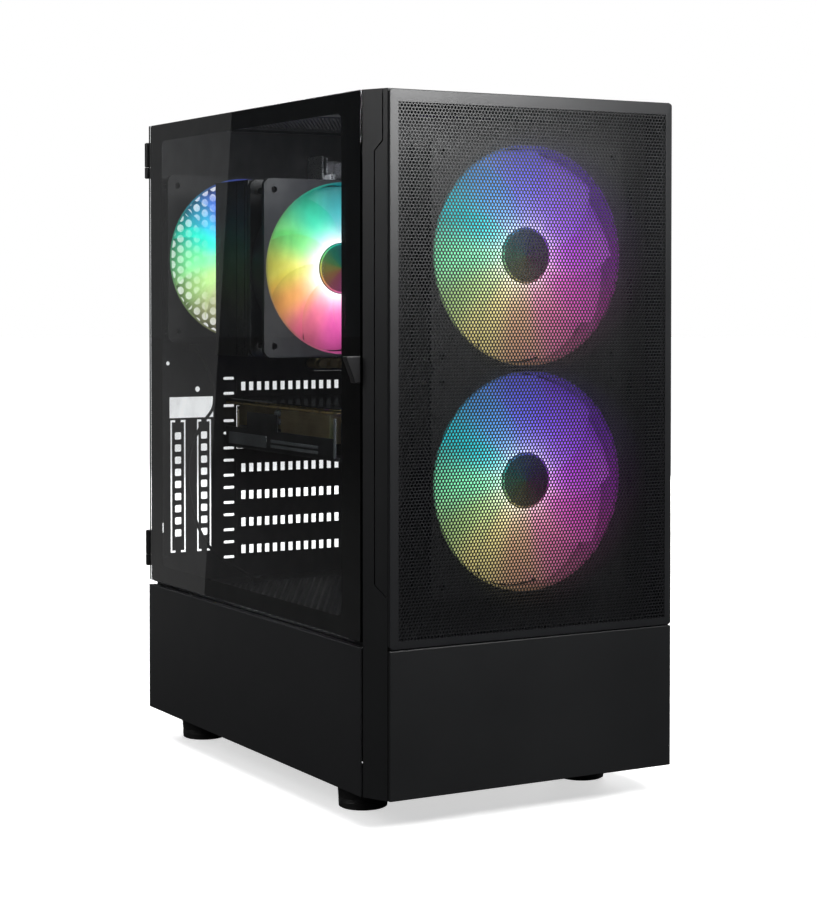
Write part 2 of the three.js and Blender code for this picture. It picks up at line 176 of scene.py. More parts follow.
def add_lathe(bm, profile, centre, axis="Z", sides=32):
    """A profile of (radius, height) pairs turned round an axis, closed at both ends."""
    turn = {
        "Z": Matrix.Identity(3), "Y": Matrix.Rotation(-math.pi / 2, 3, "X"),
        "-Y": Matrix.Rotation(math.pi / 2, 3, "X"), "X": Matrix.Rotation(math.pi / 2, 3, "Y"),
        "-X": Matrix.Rotation(-math.pi / 2, 3, "Y")}[axis]
    rings = []
    for radius, height in profile:
        count = 1 if radius < 1e-7 else sides
        ring = []
        for step in range(count):
            angle = 2 * math.pi * step / sides
            point = turn @ Vector((radius * math.cos(angle), radius * math.sin(angle), height))
            ring.append(bm.verts.new(Vector(centre) + point))
        rings.append(ring)
    faces = []
    for near, far in zip(rings, rings[1:]):
        for step in range(sides):
            after = (step + 1) % sides
            loop = [
                near[step % len(near)], near[after % len(near)], far[after % len(far)], far[step % len(far)]]
            loop = [vert for place, vert in enumerate(loop) if vert not in loop[:place]]
            if len(loop) > 2:
                faces.append(bm.faces.new(loop))
    for ring in (rings[0], rings[-1]):
        if len(ring) > 1:
            faces.append(bm.faces.new(ring))
    bmesh.ops.recalc_face_normals(bm, faces=faces)


def bridge(bm, rings):
    """Faces between each ring of corners and the next, all of one count."""
    faces = []
    for near, far in zip(rings, rings[1:]):
        for step in range(len(near)):
            after = (step + 1) % len(near)
            faces.append(bm.faces.new((near[step], near[after], far[after], far[step])))
    return faces


def add_tube(bm, points, radius, sides=10):
    """A round bar along a list of points."""
    points = [Vector(point) for point in points]
    rings = []
    side = Vector((0, 0, 1)).cross(points[1] - points[0])
    side = side.normalized() if side.length > 1e-6 else Vector((1, 0, 0))
    for place, point in enumerate(points):
        ahead = points[min(place + 1, len(points) - 1)] - points[max(place - 1, 0)]
        ahead.normalize()
        side = (side - ahead * side.dot(ahead)).normalized()
        up = ahead.cross(side)
        ring = []
        for step in range(sides):
            angle = 2 * math.pi * step / sides
            ring.append(bm.verts.new(point + (side * math.cos(angle) + up * math.sin(angle)) * radius))
        rings.append(ring)
    faces = bridge(bm, rings)
    faces.append(bm.faces.new(rings[0]))
    faces.append(bm.faces.new(rings[-1]))
    bmesh.ops.recalc_face_normals(bm, faces=faces)


def add_ring(bm, profile, centre, sides):
    """A closed profile of (radius, height) turned round Z, open in the middle; its ends are one point."""
    rings = []
    for radius, height in profile[:-1]:
        ring = []
        for step in range(sides):
            angle = 2 * math.pi * step / sides
            ring.append(bm.verts.new(
                Vector(centre) + Vector((radius * math.cos(angle), radius * math.sin(angle), height))))
        rings.append(ring)
    faces = bridge(bm, [*rings, rings[0]])
    bmesh.ops.recalc_face_normals(bm, faces=faces)


def prism(bm, section, z0, z1):
    """A closed column over a flat outline of (x, y) corners."""
    rings = [[bm.verts.new((point.x, point.y, z)) for point in section] for z in (z0, z1)]
    faces = [bm.faces.new(rings[0]), bm.faces.new(rings[1])]
    faces += bridge(bm, rings)
    bmesh.ops.recalc_face_normals(bm, faces=faces)


def add_screw(bm, centre, radius, height, axis):
    """Round screw head with a round recess."""
    add_lathe(
        bm,
        [
            (0, 0), (radius, 0), (radius, height * 0.35), (radius * 0.85, height * 0.8),
            (radius * 0.45, height), (radius * 0.4, height * 0.5), (0, height * 0.5)],
        centre, axis, 20)


def smooth_path(points, steps=6):
    """Catmull-Rom points through a short list of points."""
    points = [Vector(point) for point in points]
    padded = [points[0] * 2 - points[1], *points, points[-1] * 2 - points[-2]]
    path = []
    for place in range(1, len(padded) - 2):
        before, start, end, after = padded[place - 1:place + 3]
        for step in range(steps):
            t = step / steps
            bend = (2 * before - 5 * start + 4 * end - after) * t * t
            twist = (3 * start - before - 3 * end + after) * t ** 3
            path.append(0.5 * (2 * start + (end - before) * t + bend + twist))
    path.append(points[-1])
    return path


def circle(u, v, radius, sides=24, turn=0.0):
    """Outline of a circle."""
    return [
        (
            u + radius * math.cos(turn + 2 * math.pi * step / sides),
            v + radius * math.sin(turn + 2 * math.pi * step / sides))
        for step in range(sides)]


def rounded(u0, u1, v0, v1, radius, steps=4):
    """A rectangle with round corners."""
    loop = []
    for u, v, start in (
            (u1 - radius, v1 - radius, 0), (u0 + radius, v1 - radius, 1), (u0 + radius, v0 + radius, 2),
            (u1 - radius, v0 + radius, 3)):
        for step in range(steps + 1):
            angle = (start + step / steps) * math.pi / 2
            loop.append((u + radius * math.cos(angle), v + radius * math.sin(angle)))
    return loop


def rectangle(u0, u1, v0, v1):
    """Outline of a rectangle."""
    return [(u0, v0), (u1, v0), (u1, v1), (u0, v1)]


def inside(point, loop):
    """Whether a flat point is inside an outline."""
    u, v = point
    hit = False
    for place, (u1, v1) in enumerate(loop):
        u0, v0 = loop[place - 1]
        if (v0 > v) != (v1 > v) and u < (u1 - u0) * (v - v0) / (v1 - v0) + u0:
            hit = not hit
    return hit


def facing(axis, level):
    """Maps a flat (u, v) drawing and a depth to a point, for a sheet whose first face is at level."""
    if axis == "Y":
        return lambda u, v, w: Vector((u, level + w, v))
    if axis == "X":
        return lambda u, v, w: Vector((level + w, u, v))
    return lambda u, v, w: Vector((u, v, level + w))


def add_sheet(bm, outline, holes, place, thickness):
    """A flat sheet with holes cut clean through; holes may not touch."""
    points = []
    edges = []
    owner = []
    for number, loop in enumerate([outline, *holes]):
        first = len(points)
        count = len(loop)
        points.extend(Vector(point) for point in loop)
        owner.extend([number] * count)
        edges.extend((first + step, first + (step + 1) % count) for step in range(count))
    flat, _, faces, sources, _, _ = delaunay_2d_cdt(points, edges, [], 0, 1e-7)
    owners = [{owner[source] for source in group} for group in sources]
    kept = []
    for face in faces:
        shared = set.intersection(*(owners[index] for index in face))
        if shared - {0}:
            continue
        middle = sum((flat[index] for index in face), Vector((0, 0))) / len(face)
        if inside(middle, outline):
            kept.append(tuple(face))
    front = [bm.verts.new(place(point.x, point.y, 0)) for point in flat]
    back = [bm.verts.new(place(point.x, point.y, thickness)) for point in flat]
    made = []
    sides = {}
    for face in kept:
        made.append(bm.faces.new([front[index] for index in face]))
        made.append(bm.faces.new([back[index] for index in reversed(face)]))
        for step in range(len(face)):
            edge = (face[step], face[(step + 1) % len(face)])
            if sides.pop((edge[1], edge[0]), None) is None:
                sides[edge] = True
    for start, end in sides:
        made.append(bm.faces.new((front[end], front[start], back[start], back[end])))
    used = {vert for face in made for vert in face.verts}
    bmesh.ops.delete(bm, geom=[vert for vert in front + back if vert not in used], context="VERTS")
    bmesh.ops.recalc_face_normals(bm, faces=made)


def publish(bm, name, material, body, nodes=()):
    """Turns the drawing into a piece that rides on its body and stands for its CAD nodes."""
    mesh = bpy.data.meshes.new(name)
    bm.to_mesh(mesh)
    bm.free()
    publish_mesh(mesh, name, material, body, nodes)


def flatten_shading(piece):
    """Weighs the shading by face area, so that flat faces beside small bevels stay flat."""
    modifier = piece.modifiers.new("weights", "WEIGHTED_NORMAL")
    modifier.keep_sharp = True
    plain = bpy.data.meshes.new_from_object(piece.evaluated_get(bpy.context.evaluated_depsgraph_get()))
    plain.name = piece.name
    piece.modifiers.clear()
    piece.data = plain


def publish_mesh(mesh, name, material, body, nodes=()):
    """Makes a piece of a finished mesh."""
    mesh.name = name
    mesh.materials.clear()
    mesh.materials.append(material)
    mesh.shade_smooth()
    mesh.set_sharp_from_angle(angle=SHARP_ANGLE)
    piece = bpy.data.objects.new(name, mesh)
    bpy.context.scene.collection.objects.link(piece)
    if len(mesh.polygons) < FLATTEN_LIMIT:
        flatten_shading(piece)
    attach(piece, body)
    if nodes:
        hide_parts(*nodes)


# ---- Geometry Nodes fields ----------------------------------------------------------------


def field_tree():
    """Node tree that repeats its own mesh over a grid, every second row moved half a pitch."""
    tree = bpy.data.node_groups.get("Hole Field")
    if tree:
        return tree
    tree = bpy.data.node_groups.new("Hole Field", "GeometryNodeTree")
    sockets = tree.interface
    sockets.new_socket(name="Cell", in_out="INPUT", socket_type="NodeSocketGeometry")
    for name, kind, value in (
            ("Columns", "NodeSocketInt", 10), ("Rows", "NodeSocketInt", 10),
            ("Pitch X", "NodeSocketFloat", 0.002), ("Pitch Y", "NodeSocketFloat", 0.002),
            ("Stagger", "NodeSocketFloat", 0.001), ("Weld", "NodeSocketFloat", 0.00002),
            ("Finish", "NodeSocketMaterial", None)):
        socket = sockets.new_socket(name=name, in_out="INPUT", socket_type=kind)
        if value is not None:
            socket.default_value = value
    sockets.new_socket(name="Field", in_out="OUTPUT", socket_type="NodeSocketGeometry")
    nodes, links = tree.nodes, tree.links
    given = nodes.new("NodeGroupInput")
    out = nodes.new("NodeGroupOutput")

    def maths(operation, first, second):
        node = nodes.new("ShaderNodeMath")
        node.operation = operation
        for socket, value in zip(node.inputs, (first, second)):
            if isinstance(value, (int, float)):
                socket.default_value = value
            else:
                links.new(value, socket)
        return node.outputs[0]

    grid = nodes.new("GeometryNodeMeshGrid")
    links.new(given.outputs["Columns"], grid.inputs["Vertices X"])
    links.new(given.outputs["Rows"], grid.inputs["Vertices Y"])
    links.new(
        maths("MULTIPLY", maths("SUBTRACT", given.outputs["Columns"], 1), given.outputs["Pitch X"]),
        grid.inputs["Size X"])
    links.new(
        maths("MULTIPLY", maths("SUBTRACT", given.outputs["Rows"], 1), given.outputs["Pitch Y"]),
        grid.inputs["Size Y"])
    index = nodes.new("GeometryNodeInputIndex")
    row = maths("MODULO", index.outputs[0], given.outputs["Rows"])
    odd = maths("MODULO", row, 2)
    offset = nodes.new("ShaderNodeCombineXYZ")
    links.new(maths("MULTIPLY", maths("SUBTRACT", odd, 0.5), given.outputs["Stagger"]), offset.inputs["X"])
    move = nodes.new("GeometryNodeSetPosition")
    links.new(grid.outputs["Mesh"], move.inputs["Geometry"])
    links.new(offset.outputs[0], move.inputs["Offset"])
    copies = nodes.new("GeometryNodeInstanceOnPoints")
    links.new(move.outputs[0], copies.inputs["Points"])
    links.new(given.outputs["Cell"], copies.inputs["Instance"])
    real = nodes.new("GeometryNodeRealizeInstances")
    links.new(copies.outputs[0], real.inputs[0])
    weld = nodes.new("GeometryNodeMergeByDistance")
    links.new(real.outputs[0], weld.inputs["Geometry"])
    links.new(given.outputs["Weld"], weld.inputs["Distance"])
    finish = nodes.new("GeometryNodeSetMaterial")
    links.new(weld.outputs[0], finish.inputs["Geometry"])
    links.new(given.outputs["Finish"], finish.inputs["Material"])
    links.new(finish.outputs[0], out.inputs["Field"])
    return tree


def field_mesh(name, cell, columns, rows, pitch_x, pitch_y, stagger, material, weld=0.00002):
    """The cell mesh repeated over a grid centred on the origin, as one plain mesh."""
    carrier = bpy.data.objects.new(f"{name}_cell", cell)
    bpy.context.scene.collection.objects.link(carrier)
    modifier = carrier.modifiers.new("Hole Field", "NODES")
    modifier.node_group = field_tree()
    values = {
        "Columns": columns, "Rows": rows, "Pitch X": pitch_x, "Pitch Y": pitch_y, "Stagger": stagger,
        "Weld": weld, "Finish": material}
    for item in modifier.node_group.interface.items_tree:
        if item.item_type == "SOCKET" and item.in_out == "INPUT" and item.name in values:
            modifier[item.identifier] = values[item.name]
    depsgraph = bpy.context.evaluated_depsgraph_get()
    mesh = bpy.data.meshes.new_from_object(carrier.evaluated_get(depsgraph))
    mesh.name = name
    bpy.data.objects.remove(carrier)
    return mesh


def hex_cell(pitch, hole, thickness):
    """One six-sided cell of a perforated sheet, flat sides left and right, round a six-sided hole."""
    outer, hole = (circle(0, 0, width / math.sqrt(3), 6, math.pi / 6) for width in (pitch, hole))
    mesh = bpy.data.meshes.new("cell")
    bm = bmesh.new()
    rings = [[bm.verts.new((u, v, w)) for u, v in loop] for w in (0, -thickness) for loop in (outer, hole)]
    top_outer, top_hole, low_outer, low_hole = rings
    count = len(outer)
    for step in range(count):
        after = (step + 1) % count
        bm.faces.new((top_outer[step], top_outer[after], top_hole[after], top_hole[step]))
        bm.faces.new((low_hole[step], low_hole[after], low_outer[after], low_outer[step]))
        bm.faces.new((top_hole[step], top_hole[after], low_hole[after], low_hole[step]))
    bm.to_mesh(mesh)
    bm.free()
    return mesh


# ---- Shader groups ------------------------------------------------------------------------


def new_group(name, inputs, outputs):
    """A new shader group with its sockets and its input and output nodes."""
    group = bpy.data.node_groups.new(name, "ShaderNodeTree")
    for label, kind, value in inputs:
        socket = group.interface.new_socket(name=label, in_out="INPUT", socket_type=kind)
        socket.default_value = value
    for label, kind in outputs:
        group.interface.new_socket(name=label, in_out="OUTPUT", socket_type=kind)
    return group, group.nodes.new("NodeGroupInput"), group.nodes.new("NodeGroupOutput")


def math_node(tree, operation, first, second, third=None, clamp=False):
    """Output of a maths node fed by numbers or sockets."""
    node = tree.nodes.new("ShaderNodeMath")
    node.operation = operation
    node.use_clamp = clamp
    for socket, value in zip(node.inputs, (first, second, third)):
        if value is None:
            continue
        if isinstance(value, (int, float)):
            socket.default_value = value
        else:
            tree.links.new(value, socket)
    return node.outputs[0]


def coat_group():
    """Fine grain and slow tone drift of paint, plastic and rubber."""
    name = "Coat Grain"
    if name in bpy.data.node_groups:
        return bpy.data.node_groups[name]
    group, given, out = new_group(
        name,
        [
            ("Colour", "NodeSocketColor", (0.02, 0.02, 0.02, 1)), ("Drift", "NodeSocketFloat", 0.3),
            ("Grain Scale", "NodeSocketFloat", 1500.0), ("Roughness", "NodeSocketFloat", 0.5),
            ("Spread", "NodeSocketFloat", 0.15), ("Dust", "NodeSocketFloat", 0.02)],
        [("Colour", "NodeSocketColor"), ("Roughness", "NodeSocketFloat"), ("Height", "NodeSocketFloat")])
    nodes, links = group.nodes, group.links
    where = nodes.new("ShaderNodeTexCoord")
    fine = nodes.new("ShaderNodeTexNoise")
    links.new(where.outputs["Object"], fine.inputs["Vector"])
    links.new(given.outputs["Grain Scale"], fine.inputs["Scale"])
    fine.inputs["Detail"].default_value = 2
    broad = nodes.new("ShaderNodeTexNoise")
    links.new(where.outputs["Object"], broad.inputs["Vector"])
    broad.inputs["Scale"].default_value = 17
    broad.inputs["Detail"].default_value = 4
    drift = math_node(group, "SUBTRACT", broad.outputs[0], 0.5)
    tone = math_node(group, "MULTIPLY_ADD", drift, given.outputs["Drift"], 1.0)
    speck = math_node(group, "MULTIPLY_ADD", math_node(group, "SUBTRACT", fine.outputs[0], 0.5), 0.5, tone)
    scaled = nodes.new("ShaderNodeVectorMath")
    scaled.operation = "SCALE"
    links.new(given.outputs["Colour"], scaled.inputs[0])
    links.new(speck, scaled.inputs["Scale"])
    geometry = nodes.new("ShaderNodeNewGeometry")
    split = nodes.new("ShaderNodeSeparateXYZ")
    links.new(geometry.outputs["Normal"], split.inputs[0])
    upward = math_node(group, "SUBTRACT", split.outputs["Z"], 0.6, clamp=True)
    settled = math_node(
        group, "MULTIPLY", math_node(group, "MULTIPLY", upward, given.outputs["Dust"]), broad.outputs[0])
    dusty = nodes.new("ShaderNodeMix")
    dusty.data_type = "RGBA"
    links.new(settled, dusty.inputs["Factor"])
    links.new(scaled.outputs[0], dusty.inputs[6])
    dusty.inputs[7].default_value = (0.35, 0.34, 0.32, 1)
    links.new(dusty.outputs[2], out.inputs["Colour"])
    rough = math_node(
        group, "MULTIPLY_ADD", math_node(group, "SUBTRACT", fine.outputs[0], 0.5), given.outputs["Spread"],
        given.outputs["Roughness"])
    worn = math_node(group, "MULTIPLY_ADD", drift, given.outputs["Spread"], rough, clamp=True)
    links.new(worn, out.inputs["Roughness"])
    links.new(fine.outputs[0], out.inputs["Height"])
    return group


def brushed_group():
    """Fine drawn lines of bare metal, along the axis whose stretch is small."""
    name = "Drawn Metal"
    if name in bpy.data.node_groups:
        return bpy.data.node_groups[name]
    group, given, out = new_group(
        name,
        [
            ("Colour", "NodeSocketColor", (0.6, 0.6, 0.6, 1)),
            ("Stretch", "NodeSocketVector", (30, 900, 900)), ("Roughness", "NodeSocketFloat", 0.3)],
        [("Colour", "NodeSocketColor"), ("Roughness", "NodeSocketFloat"), ("Height", "NodeSocketFloat")])
    nodes, links = group.nodes, group.links
    where = nodes.new("ShaderNodeTexCoord")
    stretch = nodes.new("ShaderNodeVectorMath")
    stretch.operation = "MULTIPLY"
    links.new(where.outputs["Object"], stretch.inputs[0])
    links.new(given.outputs["Stretch"], stretch.inputs[1])
    lines = nodes.new("ShaderNodeTexNoise")
    lines.inputs["Scale"].default_value = 1
    lines.inputs["Detail"].default_value = 3
    links.new(stretch.outputs[0], lines.inputs["Vector"])
    tone = math_node(group, "MULTIPLY_ADD", lines.outputs[0], 0.5, 0.72)
    scaled = nodes.new("ShaderNodeVectorMath")
    scaled.operation = "SCALE"
    links.new(given.outputs["Colour"], scaled.inputs[0])
    links.new(tone, scaled.inputs["Scale"])
    links.new(scaled.outputs[0], out.inputs["Colour"])
    rough = math_node(
        group, "MULTIPLY_ADD", math_node(group, "SUBTRACT", lines.outputs[0], 0.5), 0.35,
        given.outputs["Roughness"], clamp=True)
    links.new(rough, out.inputs["Roughness"])
    links.new(lines.outputs[0], out.inputs["Height"])
    return group


def fan_light_group():
    """Angle and distance round a fan's axis, from a vector centred on the fan."""
    name = "Round The Fan"
    if name in bpy.data.node_groups:
        return bpy.data.node_groups[name]
    group, given, out = new_group(
        name,
        [
            ("Vector", "NodeSocketVector", (0, 0, 0)), ("Hub", "NodeSocketFloat", 0.02),
            ("Reach", "NodeSocketFloat", 0.066)],
        [("Turn", "NodeSocketFloat"), ("Outward", "NodeSocketFloat")])
    nodes, links = group.nodes, group.links
    split = nodes.new("ShaderNodeSeparateXYZ")
    links.new(given.outputs["Vector"], split.inputs[0])
    angle = math_node(group, "ARCTAN2", split.outputs["Z"], split.outputs["X"])
    turn = math_node(group, "MULTIPLY_ADD", angle, 1 / (2 * math.pi), 0.5)
    links.new(turn, out.inputs["Turn"])
    flat = nodes.new("ShaderNodeCombineXYZ")
    links.new(split.outputs["X"], flat.inputs["X"])
    links.new(split.outputs["Z"], flat.inputs["Z"])
    length = nodes.new("ShaderNodeVectorMath")
    length.operation = "LENGTH"
    links.new(flat.outputs[0], length.inputs[0])
    span = math_node(group, "SUBTRACT", given.outputs["Reach"], given.outputs["Hub"])
    past = math_node(group, "SUBTRACT", length.outputs["Value"], given.outputs["Hub"])
    links.new(math_node(group, "DIVIDE", past, span, clamp=True), out.inputs["Outward"])
    return group


# ---- Materials ----------------------------------------------------------------------------


def new_material(name):
    """A new material with its node tree and its shader."""
    material = bpy.data.materials.new(name)
    material.use_nodes = True
    tree = material.node_tree
    return material, tree, tree.nodes["Principled BSDF"]


def cached(name, make):
    """The material of that name, made when it is first asked for."""
    return bpy.data.materials.get(name) or make(name)


def use_group(tree, group, **values):
    """A node of the group, with its sockets set by name."""
    node = tree.nodes.new("ShaderNodeGroup")
    node.node_tree = group
    for label, value in values.items():
        node.inputs[label.replace("_", " ")].default_value = value
    return node


def add_bump(tree, shader, height, strength, distance):
    """Raises the surface by a height value."""
    raised = tree.nodes.new("ShaderNodeBump")
    raised.inputs["Strength"].default_value = strength
    raised.inputs["Distance"].default_value = distance
    tree.links.new(height, raised.inputs["Height"])
    tree.links.new(raised.outputs[0], shader.inputs["Normal"])


def grained(name, group, metallic, bump, distance, **values):
    """Finish whose colour, roughness and height come from a shader group."""

    def make(label):
        material, tree, shader = new_material(label)
        grain = use_group(tree, group, **values)
        tree.links.new(grain.outputs["Colour"], shader.inputs["Base Color"])
        tree.links.new(grain.outputs["Roughness"], shader.inputs["Roughness"])
        shader.inputs["Metallic"].default_value = metallic
        add_bump(tree, shader, grain.outputs["Height"], bump, distance)
        return material

    return cached(name, make)


def coated(name, colour, roughness, grain=1500.0, bump=0.12, spread=0.15, drift=0.3, dust=0.02):
    """Painted, moulded or rubbery finish."""
    return grained(
        name, coat_group(), 0, bump, 0.0002, Colour=(*colour, 1), Drift=drift, Grain_Scale=grain,
        Roughness=roughness, Spread=spread, Dust=dust)


def drawn(name, colour, roughness, stretch):
    """Bare metal with fine drawn lines."""
    return grained(
        name, brushed_group(), 1, 0.08, 0.0001, Colour=(*colour, 1), Stretch=stretch, Roughness=roughness)


def powder_coat():
    """Outer steel."""
    colour = bpy.context.scene.tower_paint.steel
    return coated("Powder Coat", colour, 0.46, grain=2600, bump=0.22, spread=0.2)


def front_coat():
    """Smoother paint of the perforated front."""
    colour = bpy.context.scene.tower_paint.steel
    return coated("Front Coat", colour, 0.38, grain=2600, bump=0.1, spread=0.1)


def inner_coat():
    """Steel inside the case."""
    return coated("Inside Coat", bpy.context.scene.tower_paint.inside, 0.5, grain=2200, bump=0.15)


def moulded():
    """Grained plastic of the front."""
    colour = bpy.context.scene.tower_paint.plastic
    return coated("Moulded Plastic", colour, 0.42, grain=2200, bump=0.16, spread=0.14)


def smooth_plastic():
    return coated("Smooth Plastic", (0.011, 0.011, 0.012), 0.32, grain=900, bump=0.05)


def rubber():
    return coated("Foot Rubber", (0.022, 0.022, 0.022), 0.5, grain=1200, bump=0.25)


def filter_mesh():
    return coated("Filter Mesh", (0.012, 0.012, 0.013), 0.6, grain=1800, bump=0.2)


def bright_steel():
    return drawn("Bright Steel", (0.55, 0.56, 0.58), 0.3, (40, 900, 900))


def hinge_steel():
    return coated("Hinge Coat", (0.012, 0.012, 0.013), 0.36, grain=1500, bump=0.1)


def fin_aluminium():
    return drawn("Fin Aluminium", (0.42, 0.43, 0.45), 0.34, (900, 40, 900))


def copper():
    return drawn("Heat Pipe Copper", (0.72, 0.43, 0.28), 0.24, (30, 700, 700))


def sheath():
    return coated("Lead Sheath", (0.010, 0.010, 0.011), 0.55, grain=1400, bump=0.1)


def shield_steel():
    return drawn("Shield Steel", (0.14, 0.14, 0.15), 0.4, (40, 900, 900))


def gloss_black():
    return coated("Gloss Black Plate", (0.008, 0.008, 0.009), 0.12, grain=400, bump=0.01, spread=0.06)


def gold_fin():
    return drawn("Gold Fin", (0.52, 0.44, 0.27), 0.36, (900, 60, 900))


def brass_tone():
    return drawn("Brass Tone", (0.62, 0.50, 0.26), 0.35, (300, 300, 300))


def trim_grey():
    return coated("Trim Grey", (0.16, 0.17, 0.18), 0.34, grain=900, bump=0.04)


def usb_blue():
    return coated("Socket Blue", (0.02, 0.09, 0.42), 0.45, grain=900, bump=0.04)


def printed_board(name="Printed Board", colour=(0.012, 0.014, 0.018)):
    """Solder mask over fine copper tracks."""

    def make(label):
        material, tree, shader = new_material(label)
        where = tree.nodes.new("ShaderNodeTexCoord")
        tracks = tree.nodes.new("ShaderNodeTexVoronoi")
        tracks.distance = "MANHATTAN"
        tracks.inputs["Scale"].default_value = 260
        tree.links.new(where.outputs["Object"], tracks.inputs["Vector"])
        lines = tree.nodes.new("ShaderNodeValToRGB")
        lines.color_ramp.elements[0].position = 0.35
        lines.color_ramp.elements[0].color = (*colour, 1)
        lines.color_ramp.elements[1].position = 0.5
        lines.color_ramp.elements[1].color = (colour[0] * 2.2, colour[1] * 2.2, colour[2] * 2.2, 1)
        tree.links.new(tracks.outputs["Distance"], lines.inputs[0])
        tree.links.new(lines.outputs[0], shader.inputs["Base Color"])
        rough = math_node(tree, "MULTIPLY_ADD", tracks.outputs["Distance"], 0.3, 0.28, clamp=True)
        tree.links.new(rough, shader.inputs["Roughness"])
        add_bump(tree, shader, tracks.outputs["Distance"], 0.2, 0.0001)
        return material

    return cached(name, make)


def pane_glass():
    """Clear tempered glass with the faintest smoke tint."""

    def make(label):
        material, tree, shader = new_material(label)
        shader.inputs["Transmission Weight"].default_value = 1
        shader.inputs["IOR"].default_value = 1.45
        coat = use_group(
            tree, coat_group(), Colour=(0.86, 0.88, 0.89, 1), Drift=0.008, Grain_Scale=60.0, Roughness=0.0,
            Spread=0.004, Dust=0.0)
        tree.links.new(coat.outputs["Colour"], shader.inputs["Base Color"])
        shader.inputs["Roughness"].default_value = 0
        return material

    return cached("Door Glass", make)


def border_print():
    """Black ceramic print on the inner face of the glass."""
    material = coated(
        "Border Print", (0.002, 0.002, 0.0022), 0.6, grain=1200, bump=0.02, drift=0.1, spread=0.05)
    material.node_tree.nodes["Principled BSDF"].inputs["Specular IOR Level"].default_value = 0.05
    return material


def round_clock(*hours):
    """Colour stops spread evenly round a fan, with the first colour again at the end."""
    return [(place / len(hours), colour) for place, colour in enumerate((*hours, hours[0]))]


# Colour round each fan: 0 and 1 are nine o'clock seen from the front, 0.25 six, 0.5 three and 0.75 twelve.
FRONT_LIGHT = round_clock(
    (0.15, 0.54, 0.30), (0.25, 0.38, 0.15), (0.43, 0.37, 0.15), (0.34, 0.19, 0.12),
    (0.38, 0.10, 0.21), (0.37, 0.05, 0.29), (0.28, 0.03, 0.39), (0.17, 0.03, 0.44),
    (0.13, 0.05, 0.47), (0.09, 0.09, 0.50), (0.07, 0.22, 0.50), (0.02, 0.38, 0.42))
COOLER_LIGHT = round_clock(
    (0.75, 0.72, 0.10), (0.98, 0.44, 0.12), (0.99, 0.20, 0.33), (0.99, 0.14, 0.51),
    (0.80, 0.10, 0.62), (0.50, 0.08, 0.75), (0.25, 0.08, 0.80), (0.08, 0.12, 0.75),
    (0.02, 0.25, 0.60), (0.00, 0.43, 0.47), (0.00, 0.70, 0.42), (0.20, 0.84, 0.22))
REAR_LIGHT = [
    (0.000, (0.22, 0.95, 0.40)), (0.083, (0.48, 0.82, 0.28)), (0.167, (0.52, 0.55, 0.28)),
    (0.250, (0.50, 0.35, 0.28)), (0.333, (0.60, 0.15, 0.40)), (0.417, (0.60, 0.08, 0.60)),
    (0.500, (0.45, 0.06, 0.70)), (0.583, (0.25, 0.06, 0.75)), (0.667, (0.15, 0.08, 0.75)),
    (0.750, (0.10, 0.14, 0.75)), (0.819, (0.10, 0.26, 0.92)), (0.875, (0.05, 0.60, 0.90)),
    (0.931, (0.02, 0.90, 0.65)), (1.000, (0.22, 0.95, 0.40)),
]


def lit(name, centre, hub, reach, stops, strength, core, fade, clear=0.0):
    """Frosted plastic lit from the hub outwards, in a colour that changes round the fan.

    clear is how see-through the outer ends are.
    """

    def make(label):
        material, tree, shader = new_material(label)
        where = tree.nodes.new("ShaderNodeTexCoord")
        centred = tree.nodes.new("ShaderNodeMapping")
        centred.inputs["Location"].default_value = [-value for value in centre]
        tree.links.new(where.outputs["Object"], centred.inputs["Vector"])
        round_fan = use_group(tree, fan_light_group(), Hub=hub, Reach=reach)
        tree.links.new(centred.outputs[0], round_fan.inputs["Vector"])
        ramp = tree.nodes.new("ShaderNodeValToRGB")
        ramp.color_ramp.interpolation = "EASE"
        elements = ramp.color_ramp.elements
        elements[0].position, elements[0].color = stops[0][0], (*stops[0][1], 1)
        elements[1].position, elements[1].color = stops[-1][0], (*stops[-1][1], 1)
        for position, colour in stops[1:-1]:
            elements.new(position).color = (*colour, 1)
        tree.links.new(round_fan.outputs["Turn"], ramp.inputs[0])
        outward = round_fan.outputs["Outward"]
        level = math_node(tree, "SUBTRACT", 1, math_node(tree, "MULTIPLY", outward, fade))
        dimmed = tree.nodes.new("ShaderNodeVectorMath")
        dimmed.operation = "SCALE"
        tree.links.new(ramp.outputs[0], dimmed.inputs[0])
        tree.links.new(level, dimmed.inputs["Scale"])
        near = math_node(tree, "POWER", math_node(tree, "SUBTRACT", 1, outward, clamp=True), 6.0)
        white = tree.nodes.new("ShaderNodeMix")
        white.data_type = "RGBA"
        tree.links.new(math_node(tree, "MULTIPLY", near, core, clamp=True), white.inputs["Factor"])
        tree.links.new(dimmed.outputs[0], white.inputs[6])
        white.inputs[7].default_value = (1, 1, 1, 1)
        if clear:
            solid = math_node(tree, "SUBTRACT", 1, math_node(tree, "MULTIPLY", outward, clear))
            tree.links.new(solid, shader.inputs["Alpha"])
        frost = tree.nodes.new("ShaderNodeTexNoise")
        frost.inputs["Scale"].default_value = 700
        tree.links.new(where.outputs["Object"], frost.inputs["Vector"])
        tree.links.new(white.outputs[2], shader.inputs["Emission Color"])
        shader.inputs["Emission Strength"].default_value = strength
        rough = math_node(tree, "MULTIPLY_ADD", frost.outputs[0], 0.2, 0.35)
        tree.links.new(rough, shader.inputs["Roughness"])
        # The base colour copies the fan's light colour at 0.12 of its strength: painted glow colour, so the
        # frosted plastic looks tinted by its own light under any lamp.
        tint = tree.nodes.new("ShaderNodeVectorMath")
        tint.operation = "SCALE"
        tree.links.new(ramp.outputs[0], tint.inputs[0])
        tint.inputs["Scale"].default_value = 0.12
        tree.links.new(tint.outputs[0], shader.inputs["Base Color"])
        return material

    return cached(name, make)


# ---- Front --------------------------------------------------------------------------------


